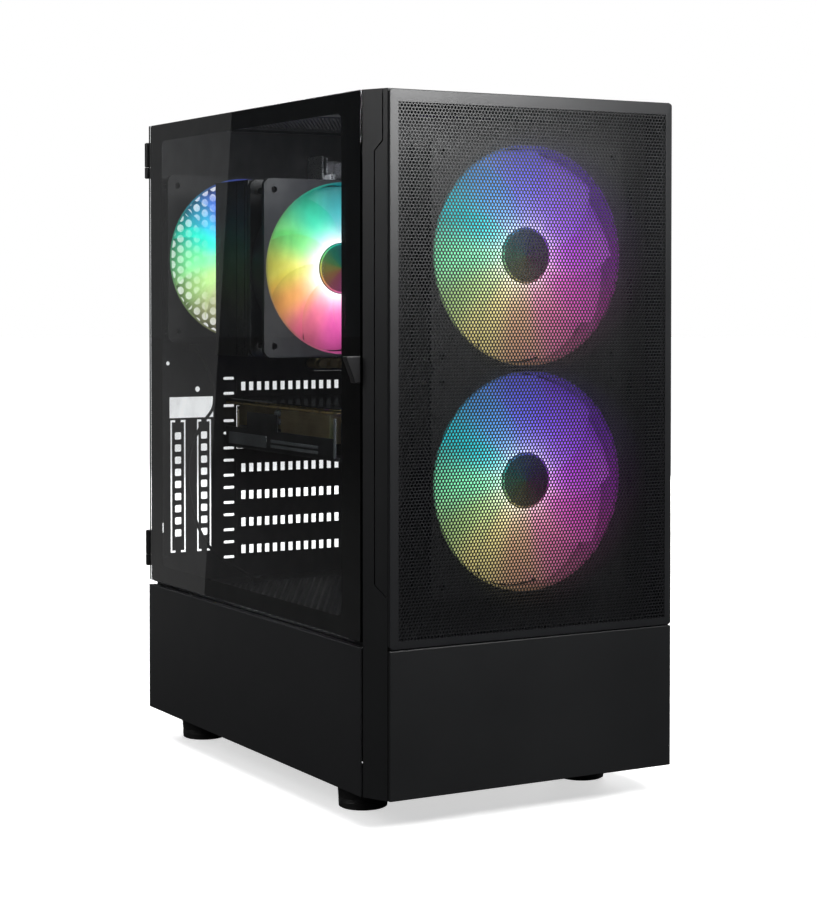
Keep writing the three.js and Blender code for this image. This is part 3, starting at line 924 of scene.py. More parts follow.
def build_front():
    """Perforated panel in three bands with its border, and the plain panel below."""
    sizes = bpy.context.scene.tower_shell
    low, high = corners("front_mesh_panel")
    left, right, floor, roof = 5.2 * MM, 4.3 * MM, 4.9 * MM, 6.5 * MM
    pitch = sizes.hole_pitch
    field_low = Vector((low.x + left, low.z + floor))
    field_high = Vector((high.x - right, high.z - roof))
    columns = int((field_high.x - field_low.x) / pitch)
    bands = 3
    rows = 54
    pitch_v = (field_high.y - field_low.y) / (bands * rows)
    middle_x = (field_low.x + field_high.x) / 2
    face = low.y + 0.25 * MM
    cell = hex_cell(pitch, sizes.hole_width, 0.8 * MM)
    cell.transform(Matrix.Diagonal((1, pitch_v / (pitch * math.sqrt(3) / 2), 1, 1)))
    for band in range(bands):
        mesh = field_mesh(
            f"front_mesh_band_{band + 1}", cell.copy(), columns, rows, pitch, pitch_v, pitch / 2,
            front_coat())
        level = field_low.y + (band + 0.5) * rows * pitch_v
        mesh.transform(Matrix.Translation((middle_x, face, level)) @ Matrix.Rotation(math.pi / 2, 4, "X"))
        publish_mesh(
            mesh, f"front_mesh_band_{band + 1}", front_coat(), "front_mesh",
            ["front_mesh_panel"])
    bm = bmesh.new()
    edge = columns * pitch / 2 - pitch / 4
    window = rectangle(middle_x - edge, middle_x + edge, field_low.y - 0.2 * MM, field_high.y - 0.9 * MM)
    add_sheet(bm, rounded(low.x, high.x, low.z, high.z, 2 * MM), [window], facing("Y", low.y), 1.2 * MM)
    rim = [vert for vert in bm.verts if abs(vert.co.y - low.y) < 1e-6]
    outer = [
        line for line in bm.edges if all(vert in rim for vert in line.verts)
        and len([side for side in line.link_faces if abs(side.normal.y) < 0.5]) == 1
        and not (
            low.x + 3 * MM < line.verts[0].co.x < high.x - 3 * MM
            and low.z + 3 * MM < line.verts[0].co.z < high.z - 3 * MM)]
    bmesh.ops.bevel(bm, geom=outer, offset=0.5 * MM, segments=2, profile=0.5, affect="EDGES")
    depth = high.y - 0.1 * MM
    for x0, x1 in ((low.x, low.x + 1.2 * MM), (high.x - 1.2 * MM, high.x)):
        add_box(bm, (x0, low.y + 1.1 * MM, low.z + 2 * MM), (x1, depth, high.z - 2 * MM))
    for z0, z1 in ((low.z, low.z + 1.2 * MM), (high.z - 1.2 * MM, high.z)):
        add_box(bm, (low.x + 2 * MM, low.y + 1.1 * MM, z0), (high.x - 2 * MM, depth, z1))
    publish(bm, "front_mesh_border", front_coat(), "front_mesh", ["front_mesh_panel"])

    low, high = corners("front_lower_panel")
    bm = bmesh.new()
    add_box(bm, low, high, 0.7 * MM, 3)
    for x in (low.x + 30 * MM, high.x - 30 * MM):
        for z in (low.z + 18 * MM, high.z - 18 * MM):
            add_lathe(
                bm, [(3 * MM, 0), (3 * MM, 5 * MM), (2 * MM, 6 * MM), (0, 6 * MM)], (x, high.y - 0.1 * MM, z),
                "Y", 12)
    publish(bm, "lower_front_cover", moulded(), CASE, ["front_lower_panel"])
    build_bezel()


def build_bezel():
    """Moulding round the front panels, its tapered cheeks split by a groove."""
    sizes = bpy.context.scene.tower_shell
    low, high = corners("front_bezel")
    panel_low, panel_high = corners("front_mesh_panel")
    skin = 1.0 * MM
    bm = bmesh.new()
    for side, wide, narrow in ((-1, low.x, panel_low.x), (1, high.x, panel_high.x)):
        back = Vector((wide, high.y))
        front = Vector((narrow, low.y))
        along = (front - back).normalized()
        outward = Vector((side * abs(along.y), -abs(along.x)))
        length = (front - back).length
        inner = outward * -skin
        wall = side * 6 * MM
        section = [
            back + inner, front + inner + along * -0.4 * MM, Vector((narrow - wall, low.y + 0.5 * MM)),
            Vector((wide - wall * 2, high.y))]
        prism(bm, section, low.z + 0.4 * MM, high.z - 0.4 * MM)
        near = length * 0.83
        middle = length * 0.5
        upper_step = (high.z - 31 * MM, high.z - 37 * MM)
        lower_step = (low.z + 129 * MM, low.z + 122.5 * MM)
        gap = sizes.groove

        def cheek(u, v, w, start=back, way=along, out=outward):
            point = start + way * u - out * w
            return Vector((point.x, point.y, v))

        front_skin = [
            (length, lower_step[1]), (length, high.z), (near, high.z), (near, upper_step[0]),
            (middle, upper_step[1]), (middle, lower_step[0]), (length - 1.5 * MM, lower_step[1])]
        rear_skin = [
            (0, low.z), (length, low.z), (length, lower_step[1] - gap),
            (length - 1.5 * MM, lower_step[1] - gap), (middle - gap, lower_step[0] - gap * 0.5),
            (middle - gap, upper_step[1] + gap * 0.5), (near - gap, upper_step[0] + gap * 0.5),
            (near - gap, high.z), (0, high.z)]
        for outline in (front_skin, rear_skin):
            add_sheet(bm, outline, [], cheek, skin)
    for z0, z1 in ((low.z, low.z + 3 * MM), (high.z - 3 * MM, high.z)):
        section = [
            Vector((low.x + 0.4 * MM, high.y)), Vector((panel_low.x + 0.4 * MM, low.y)),
            Vector((panel_high.x - 0.4 * MM, low.y)), Vector((high.x - 0.4 * MM, high.y))]
        prism(bm, section, z0, z1)
    shelf = corners("front_lower_panel")[1].z
    add_box(
        bm, (panel_low.x + 1 * MM, low.y, shelf - 4 * MM), (panel_high.x - 1 * MM, high.y, shelf + 4 * MM))
    publish(bm, "front_surround", moulded(), CASE, ["front_bezel"])


# ---- Outer shells -------------------------------------------------------------------------


def build_shells():
    """Skirt, right cover with its thumbscrews, and top plate."""
    low, high = corners("side_skirt")
    bm = bmesh.new()
    add_box(bm, low, (low.x + STEEL, high.y, high.z), 0.5 * MM)
    add_box(bm, (low.x + 0.8 * MM, low.y, high.z - STEEL), (high.x, high.y, high.z - 0.1 * MM), 0.3 * MM)
    publish(bm, "left_skirt", powder_coat(), CASE, ["side_skirt"])

    low, high = corners("right_side_panel")
    bm = bmesh.new()
    add_box(bm, (high.x - STEEL, low.y, low.z), high, 0.5 * MM)
    add_box(
        bm, (low.x, high.y - 1.1 * MM, low.z + 4 * MM),
        (high.x - 0.5 * MM, high.y - 0.05 * MM, high.z - 4 * MM), 0.4 * MM)
    publish(bm, "right_cover", powder_coat(), CASE, ["right_side_panel"])

    for place in ("upper", "lower"):
        low, high = corners(f"thumbscrew_{place}")
        middle = (low + high) / 2
        bm = bmesh.new()
        radius = (high.x - low.x) / 2
        knurl = []
        for step in range(48):
            angle = 2 * math.pi * step / 48
            reach = radius * (1 if step % 2 else 0.93)
            knurl.append((middle.x + reach * math.cos(angle), middle.z + reach * math.sin(angle)))
        add_sheet(bm, knurl, [], facing("Y", low.y), (high.y - low.y) * 0.85)
        add_lathe(
            bm,
            [
                (radius * 0.8, 0), (radius * 0.8, 0.6 * MM), (radius * 0.25, 0.6 * MM),
                (radius * 0.25, 0.1 * MM), (0, 0.1 * MM)],
            (middle.x, high.y - 0.6 * MM, middle.z), "Y", 24)
        publish(bm, f"panel_screw_{place}", bright_steel(), CASE, [f"thumbscrew_{place}"])

    low, high = corners("chassis_top")
    port_low, port_high = corners("io_panel")
    bm = bmesh.new()
    vents = []
    filter_low, filter_high = corners("top_dust_filter")
    middle = (filter_low.y + filter_high.y) / 2
    for y0, y1 in ((filter_low.y + 10 * MM, middle - 6 * MM), (middle + 6 * MM, filter_high.y - 10 * MM)):
        vents.append(rounded(filter_low.x + 8 * MM, filter_high.x - 8 * MM, y0, y1, 8 * MM))
    ports = rectangle(
        port_low.x - 0.3 * MM, port_high.x + 0.3 * MM, port_low.y - 0.3 * MM, port_high.y + 0.3 * MM)
    add_sheet(
        bm, rounded(low.x, high.x, low.y, high.y, 1.5 * MM), [*vents, ports], facing("Z", low.z),
        high.z - low.z)
    publish(bm, "top_cover", powder_coat(), CASE, ["chassis_top"])


def build_feet():
    """Ribbed rubber feet."""
    for node in ("foot_front_left", "foot_front_right", "foot_rear_left", "foot_rear_right"):
        low, high = corners(node)
        middle = (low + high) / 2
        radius = (high.x - low.x) / 2
        height = high.z - low.z
        profile = [
            (0, 0.8 * MM), (radius * 0.62, 0.8 * MM), (radius * 0.66, 0), (radius * 0.88, 0),
            (radius * 0.93, 0.5 * MM), (radius * 0.94, height * 0.22)]
        for rib in range(3):
            level = height * (0.24 + rib * 0.05)
            profile += [
                (radius * 0.925, level), (radius * 0.925, level + 0.4 * MM),
                (radius * 0.945, level + 0.5 * MM)]
        profile += [(radius * 0.99, height * 0.86), (radius, height * 0.9), (radius, height), (0, height)]
        bm = bmesh.new()
        add_lathe(bm, profile, (middle.x, middle.y, low.z), "Z", 48)
        publish(bm, f"{node}_pad", rubber(), CASE, [node])


# ---- Rear wall ----------------------------------------------------------------------------


def slot_level(row):
    """Height of a slot's centre line, counted from the top."""
    cover_low, cover_high = corners("slot_cover_7")
    return (cover_low.z + cover_high.z) / 2 + (7 - row) * SLOT_PITCH


def build_rear_wall():
    """Rear wall with its grille, ports, slots and upright slots, and the slot blanks."""
    low, high = corners("chassis_rear")
    fan = centre_of("rear_fan_rotor")
    holes = []
    step_x = 6.5 * MM
    step_z = 7.6 * MM
    for column in range(-9, 10):
        for row in range(-9, 10):
            x = fan.x + column * step_x
            z = fan.z + (row + (0.5 if column % 2 else 0)) * step_z
            if math.hypot(x - fan.x, z - fan.z) < 55.5 * MM and x - 3 * MM > low.x + 2 * MM:
                holes.append(circle(x, z, 2.9 * MM, 14))
    holes += [
        circle(fan.x + across * SMALL_FAN_SCREW, fan.z + up * SMALL_FAN_SCREW, 2.2 * MM, 12) for across,
        up in CORNERS]
    port_low, port_high = corners("io_port_block")
    holes.append(rectangle(
        port_low.x - 1.5 * MM, port_high.x + 0.4 * MM, port_low.z - 1.5 * MM, port_high.z + 1.5 * MM))
    supply_low, supply_high = corners("power_supply")
    holes.append(rounded(
        supply_low.x + 2 * MM, supply_high.x - 2 * MM, supply_low.z + 3 * MM, supply_high.z - 2.5 * MM,
        5 * MM))
    cover_low, cover_high = corners("slot_cover_7")
    card_low, card_high = corners("graphics_bracket")
    tab = 9 * MM
    for row in SLOT_ROWS:
        level = slot_level(row)
        if row in CARD_ROWS:
            continue
        holes.append(
            rectangle(cover_low.x - 0.5 * MM, cover_high.x + 0.5 * MM, level - 5.3 * MM, level + 5.3 * MM))
    holes.append(rectangle(
        cover_low.x - 0.5 * MM, cover_high.x + 0.5 * MM, card_low.z - 0.3 * MM, card_high.z + 0.3 * MM))
    for row in SLOT_ROWS:
        level = slot_level(row)
        end = cover_low.x - 2 * MM
        for offset in (-5.2 * MM, 6.0 * MM):
            holes.append(
                rounded(end - tab, end, level + offset - 1.05 * MM, level + offset + 1.05 * MM, 0.9 * MM))
    left = low.x
    bottom_row = slot_level(7)
    for offset, width in ((12.9 * MM, 12.4 * MM), (34.1 * MM, 11.7 * MM)):
        x0 = left + offset
        x1 = x0 + width
        z0, z1 = bottom_row + 0.5 * MM, bottom_row + 98 * MM
        thin = 1.6 * MM
        middle = (x0 + x1) / 2
        for outer, turned, tip in ((x0, x0 + thin, middle - 2 * MM), (x1, x1 - thin, middle + 2 * MM)):
            holes.append([
                (outer, z0), (tip, z0), (tip, z0 + thin), (turned, z0 + thin), (turned, z1 - thin),
                (tip, z1 - thin), (tip, z1), (outer, z1)])
        for square in range(9):
            z = bottom_row + 14.9 * MM + square * 8.93 * MM
            holes.append(rounded(middle - 2.7 * MM, middle + 2.7 * MM, z - 2.7 * MM, z + 2.7 * MM, 1 * MM))
    opening = bottom_row + 99.5 * MM
    holes.append(rectangle(left + 12.2 * MM, left + 47.7 * MM, opening, opening + 15.4 * MM))
    holes += [
        circle(left + 34.8 * MM, opening + 21 * MM, 2.1 * MM, 12),
        circle(left + 11.2 * MM, opening + 40.3 * MM, 1.6 * MM, 10),
        rectangle(left + 6.4 * MM, left + 7.6 * MM, bottom_row - 1 * MM, bottom_row + 23 * MM),
        rectangle(left + 8.4 * MM, left + 10.6 * MM, bottom_row - 2.4 * MM, bottom_row - 1 * MM)]
    bm = bmesh.new()
    outline = rectangle(low.x, high.x, low.z, high.z + 0.7 * MM)
    add_sheet(bm, outline, holes, facing("Y", low.y), high.y - low.y)
    lip = 1.5 * MM
    add_box(bm, (low.x, low.y - lip, low.z + 1 * MM), (low.x + 1 * MM, low.y + 0.2 * MM, high.z - 1 * MM))
    for x in (port_low.x - 2.2 * MM, port_high.x + 0.6 * MM):
        add_box(
            bm, (x, high.y - 0.2 * MM, port_low.z - 2 * MM),
            (x + 0.7 * MM, high.y + 0.5 * MM, port_high.z + 2 * MM))
    publish(bm, "rear_wall", inner_coat(), CASE, ["chassis_rear"])

    for row in sorted(set(SLOT_ROWS) - set(CARD_ROWS)):
        low, high = corners(f"slot_cover_{row}")
        level = (low.z + high.z) / 2
        bm = bmesh.new()
        slots = [
            rectangle(
                low.x + 3.5 * MM + count * 6.5 * MM, low.x + 7.3 * MM + count * 6.5 * MM, level - 3.2 * MM,
                level + 3.2 * MM)
            for count in range(14)]
        add_sheet(bm, rectangle(low.x, high.x, low.z, high.z), slots, facing("Y", low.y), high.y - low.y)
        publish(bm, f"slot_blank_{row}", inner_coat(), CASE, [f"slot_cover_{row}"])
    build_rear_screws()


def build_rear_screws():
    """Pan-head screws of the rear fan and the power supply, on the outer face."""
    wall = corners("chassis_rear")[1].y
    fan = centre_of("rear_fan_rotor")
    supply_low, supply_high = corners("power_supply")
    places = [(fan.x + across * SMALL_FAN_SCREW, fan.z + up * SMALL_FAN_SCREW) for across, up in CORNERS]
    places += [
        (supply_low.x + 6 * MM, supply_high.z - 6 * MM), (supply_high.x - 6 * MM, supply_high.z - 6 * MM),
        (supply_high.x - 6 * MM, supply_low.z + 8 * MM)]
    bm = bmesh.new()
    for x, z in places:
        add_screw(bm, (x, wall, z), 3.4 * MM, 1.9 * MM, "Y")
    publish(bm, "rear_screws", hinge_steel(), CASE)


# ---- Inner steel --------------------------------------------------------------------------


def build_inner_steel():
    """Front wall, board tray and base pan."""
    low, high = corners("chassis_front")
    bm = bmesh.new()
    holes = []
    for name in ("front_fan_upper_rotor", "front_fan_lower_rotor"):
        fan = centre_of(name)
        holes.append(circle(fan.x, fan.z, 64 * MM, 48))
        holes += [
            circle(fan.x + across * LARGE_FAN_SCREW, fan.z + up * LARGE_FAN_SCREW, 2.3 * MM, 12) for across,
            up in CORNERS]
    for z in range(6):
        for x in (low.x + 10 * MM, high.x - 14 * MM):
            level = low.z + 40 * MM + z * 60 * MM
            holes.append(rounded(x - 2 * MM, x + 2 * MM, level - 12 * MM, level + 12 * MM, 1.9 * MM))
    port_low, port_high = corners("io_panel")
    outline = [
        (low.x, low.z), (high.x, low.z), (high.x, high.z), (port_high.x + 1 * MM, high.z),
        (port_high.x + 1 * MM, port_low.z - 1 * MM), (port_low.x - 1 * MM, port_low.z - 1 * MM),
        (port_low.x - 1 * MM, high.z), (low.x, high.z)]
    add_sheet(bm, outline, holes, facing("Y", high.y - STEEL), 1.1 * MM)
    for x0 in (low.x, high.x - STEEL):
        add_box(bm, (x0, low.y, low.z), (x0 + STEEL, high.y - 0.4 * MM, high.z), 0.2 * MM, 1)
    publish(bm, "front_wall", inner_coat(), CASE, ["chassis_front"])

    low, high = corners("motherboard_tray")
    face = high.x - STEEL
    bm = bmesh.new()
    cooler = centre_of("cooler_base")
    board_low, board_high = corners("motherboard")
    holes = [rounded(cooler.y - 44 * MM, cooler.y + 44 * MM, cooler.z - 50 * MM, cooler.z + 50 * MM, 6 * MM)]
    holes += [
        rounded(low.y + 27 * MM, low.y + 50 * MM, z, z + 62 * MM, 10 * MM)
        for z in (board_low.z - 32 * MM, board_low.z + 66 * MM, board_low.z + 164 * MM)]
    holes += [
        rounded(
            board_low.y + count * 70 * MM + 20 * MM, board_low.y + count * 70 * MM + 60 * MM,
            board_low.z - 26 * MM, board_low.z - 12 * MM, 5 * MM)
        for count in range(3)]
    tie = []
    for count in range(9):
        level = low.z + 110 * MM + count * 33 * MM
        tie.append(rounded(low.y + 10 * MM, low.y + 14 * MM, level, level + 10 * MM, 1.6 * MM))
    add_sheet(bm, rectangle(low.y, high.y, low.z, high.z), holes + tie, facing("X", face), high.x - face)
    for y in (low.y + 68.2 * MM, low.y + 142 * MM, high.y - 8 * MM):
        for z in (board_low.z + 7 * MM, board_low.z + 120 * MM, board_high.z - 7 * MM):
            add_lathe(
                bm, [(0, 0), (2.6 * MM, 0), (2.6 * MM, 4.1 * MM), (0, 4.1 * MM)], (face - 4.1 * MM, y, z),
                "X", 6)
    publish(bm, "board_tray", inner_coat(), CASE, ["motherboard_tray"])
    build_grommets(low, board_low, face)

    low, high = corners("chassis_base")
    bm = bmesh.new()
    supply_low, supply_high = corners("power_supply")
    intake = rounded(
        supply_low.x + 18 * MM, supply_high.x - 18 * MM, supply_low.y + 20 * MM, supply_high.y - 18 * MM,
        12 * MM)
    slots = [
        rounded(
            low.x + 40 * MM + count * 26 * MM, low.x + 46 * MM + count * 26 * MM, low.y + 60 * MM,
            low.y + 150 * MM, 3 * MM)
        for count in range(6)]
    add_sheet(
        bm, rectangle(low.x + 1 * MM, high.x - 1 * MM, low.y, high.y), [intake, *slots], facing("Z", low.z),
        STEEL)
    for x0 in (low.x, high.x - STEEL):
        add_box(bm, (x0, low.y, low.z), (x0 + STEEL, high.y, high.z), 0.3 * MM)
    publish(bm, "base_pan", inner_coat(), CASE, ["chassis_base"])
    build_shroud()


def build_grommets(tray_low, board_low, face):
    """Rubber lips round the cable openings in the tray."""
    bm = bmesh.new()
    for z in (board_low.z - 32 * MM, board_low.z + 66 * MM, board_low.z + 164 * MM):
        y0, y1 = tray_low.y + 27 * MM, tray_low.y + 50 * MM
        add_sheet(
            bm, rounded(y0 - 2 * MM, y1 + 2 * MM, z - 2 * MM, z + 64 * MM, 11 * MM),
            [rounded(y0 + 2.5 * MM, y1 - 2.5 * MM, z + 2.5 * MM, z + 59.5 * MM, 8 * MM)],
            facing("X", face - 1.4 * MM), 1.3 * MM)
        add_box(
            bm, (face - 1 * MM, y0 + 2 * MM, z + 2 * MM),
            (face - 0.4 * MM, (y0 + y1) / 2 - 0.2 * MM, z + 60 * MM))
        add_box(
            bm, (face - 0.9 * MM, (y0 + y1) / 2 + 0.2 * MM, z + 2 * MM),
            (face - 0.3 * MM, y1 - 2 * MM, z + 60 * MM))
    publish(bm, "tray_grommets", rubber(), CASE)


def build_shroud():
    """Cover over the power supply, with a vented top."""
    low, high = corners("psu_shroud")
    pitch = 5.4 * MM
    first_y, last_y = low.y + 8 * MM, high.y - 26 * MM
    left, right = low.x + 9 * MM, high.x - 20 * MM
    columns = int((right - left) / pitch)
    pitch_v = pitch * math.sqrt(3) / 2
    rows = int((last_y - first_y) / pitch_v)
    middle = Vector(((left + right) / 2, (first_y + last_y) / 2))
    thickness = 1.0 * MM
    mesh = field_mesh(
        "shroud_vent", hex_cell(pitch, 3.7 * MM, thickness), columns, rows, pitch, pitch_v, pitch / 2,
        inner_coat())
    mesh.transform(Matrix.Translation((middle.x, middle.y, high.z - 0.1 * MM)))
    publish_mesh(mesh, "shroud_vent", inner_coat(), CASE, ["psu_shroud"])
    half_x = columns * pitch / 2 - pitch / 4
    half_y = (rows - 1) * pitch_v / 2 + pitch / math.sqrt(3) / 2 * 0.95
    bm = bmesh.new()
    window = rectangle(middle.x - half_x, middle.x + half_x, middle.y - half_y, middle.y + half_y)
    add_sheet(bm, rectangle(low.x, high.x, low.y, high.y), [window], facing("Z", high.z - STEEL), STEEL)
    add_box(bm, (low.x, low.y, low.z), (low.x + STEEL, high.y, high.z - 0.6 * MM), 0.3 * MM)
    publish(bm, "shroud_cover", inner_coat(), CASE, ["psu_shroud"])


# ---- Door ---------------------------------------------------------------------------------


def build_door():
    """Glass pane with its printed border and its pull."""
    sizes = bpy.context.scene.tower_shell
    low, high = corners("glass_door")
    bm = bmesh.new()
    add_box(bm, low, high, 0.5 * MM, 2)
    publish(bm, "door_pane", pane_glass(), "glass_door", ["glass_door"])
    bm = bmesh.new()
    inset = 0.4 * MM
    window = rounded(
        low.y + sizes.border_side, high.y - sizes.border_rear, low.z + sizes.border_top,
        high.z - sizes.border_top, 5 * MM, 6)
    outline = rounded(low.y + inset, high.y - inset, low.z + inset, high.z - inset, 1 * MM)
    add_sheet(bm, outline, [window], facing("X", high.x + 0.02 * MM), 0.14 * MM)
    publish(bm, "door_border", border_print(), "glass_door")

    low, high = corners("door_pull")
    bm = bmesh.new()
    reach = high.x - low.x - 0.6 * MM
    height = high.z - low.z
    rings = []
    for y in (low.y, high.y):
        rings.append([
            bm.verts.new(point)
            for point in (
                (high.x, y, low.z), (high.x - reach * 0.42, y, low.z),
                (high.x - reach * 0.5, y, low.z + height * 0.2), (high.x - reach, y, high.z - 1.5 * MM),
                (high.x - reach, y, high.z), (high.x, y, high.z))])
    faces = [bm.faces.new(rings[0]), bm.faces.new(rings[1])]
    faces += bridge(bm, rings)
    bmesh.ops.recalc_face_normals(bm, faces=faces)
    bmesh.ops.bevel(bm, geom=list(bm.edges), offset=0.5 * MM, segments=2, profile=0.5, affect="EDGES")
    publish(bm, "door_grip", smooth_plastic(), "glass_door", ["door_pull"])

    for place in ("upper", "lower"):
        build_hinge(place)


def build_hinge(place):
    """Hinge leaf on the door and its mount on the rear wall."""
    low, high = corners(f"door_hinge_{place}")
    swing = next(joint for joint in frame["joints"] if "door" in joint["name"])
    pin = Vector(swing["pos_m"])
    radius = high.y - pin.y
    bm = bmesh.new()
    add_lathe(
        bm,
        [
            (0, 0), (radius * 0.8, 0), (radius, 0.4 * MM), (radius, high.z - low.z - 0.6 * MM),
            (radius * 0.75, high.z - low.z), (0, high.z - low.z)],
        (pin.x, pin.y, low.z), "Z", 24)
    add_box(
        bm, (pin.x, high.y - radius - 1.6 * MM, low.z), (high.x, high.y - radius - 0.4 * MM, high.z),
        0.2 * MM)
    add_box(bm, (high.x - 1 * MM, low.y, low.z), (high.x, high.y - radius - 0.6 * MM, high.z), 0.2 * MM)
    publish(bm, f"hinge_leaf_{place}", hinge_steel(), "glass_door", [f"door_hinge_{place}"])
    low, high = corners(f"hinge_bracket_{place}")
    bm = bmesh.new()
    add_lathe(
        bm, [(0, 0), (radius * 0.75, 0), (radius, 0.6 * MM), (radius, high.z - low.z), (0, high.z - low.z)],
        (pin.x, pin.y, low.z), "Z", 24)
    wall = corners("chassis_rear")[1].y
    add_box(bm, (pin.x, wall + 0.2 * MM, low.z), (high.x, wall + 1.5 * MM, high.z), 0.3 * MM)
    add_screw(bm, (high.x - 6 * MM, wall + 1.4 * MM, (low.z + high.z) / 2), 2.6 * MM, 1.2 * MM, "Y")
    publish(bm, f"hinge_mount_{place}", hinge_steel(), CASE, [f"hinge_bracket_{place}"])


# ---- Fans ---------------------------------------------------------------------------------


def add_blades(bm, centre, hub, reach, depth, blades, lean=0.42, cover=1.16):
    """Swept, twisted fan blades about the Y axis; depth runs along +Y from the centre's y."""
    spans, chords = 7, 6
    thick = 0.8 * MM
    for blade in range(blades):
        start = 2 * math.pi * blade / blades
        skins = []
        for side in (0, 1):
            grid = []
            for span in range(spans + 1):
                part = span / spans
                radius = hub - 0.5 * MM + (reach - hub + 0.5 * MM) * part
                sweep = lean * part ** 1.5
                line = []
                for chord in range(chords + 1):
                    along = chord / chords
                    width = (cover + 0.3 * (1 - part)) * 2 * math.pi / blades
                    angle = start + sweep + (along - 0.5) * width
                    steep = 0.32 + 0.44 * part
                    rise = depth * (
                        0.24 + 0.36 * part + steep * (along - 0.5 + 0.1 * math.sin(math.pi * along)))
                    edge = 1 if 0 < chord < chords else 0.35
                    line.append(bm.verts.new(
                        (
                            centre.x + radius * math.cos(angle),
                            centre.y + rise + (side - 0.5) * thick * edge,
                            centre.z + radius * math.sin(angle))))
                grid.append(line)
            skins.append(grid)
        front, back = skins
        faces = []
        for span in range(spans):
            for chord in range(chords):
                faces.append(bm.faces.new(
                    (
                        front[span][chord], front[span][chord + 1], front[span + 1][chord + 1],
                        front[span + 1][chord])))
                faces.append(bm.faces.new(
                    (
                        back[span][chord], back[span + 1][chord], back[span + 1][chord + 1],
                        back[span][chord + 1])))
        ring = [(0, chord) for chord in range(chords)] + [(span, chords) for span in range(spans)]
        ring += [
            (spans, chord) for chord in range(chords, 0, -1)] + [(span, 0) for span in range(spans, 0, -1)]
        for place, (span, chord) in enumerate(ring):
            after_span, after_chord = ring[(place + 1) % len(ring)]
            faces.append(bm.faces.new(
                (
                    front[span][chord], back[span][chord], back[after_span][after_chord],
                    front[after_span][after_chord])))
        bmesh.ops.recalc_face_normals(bm, faces=faces)


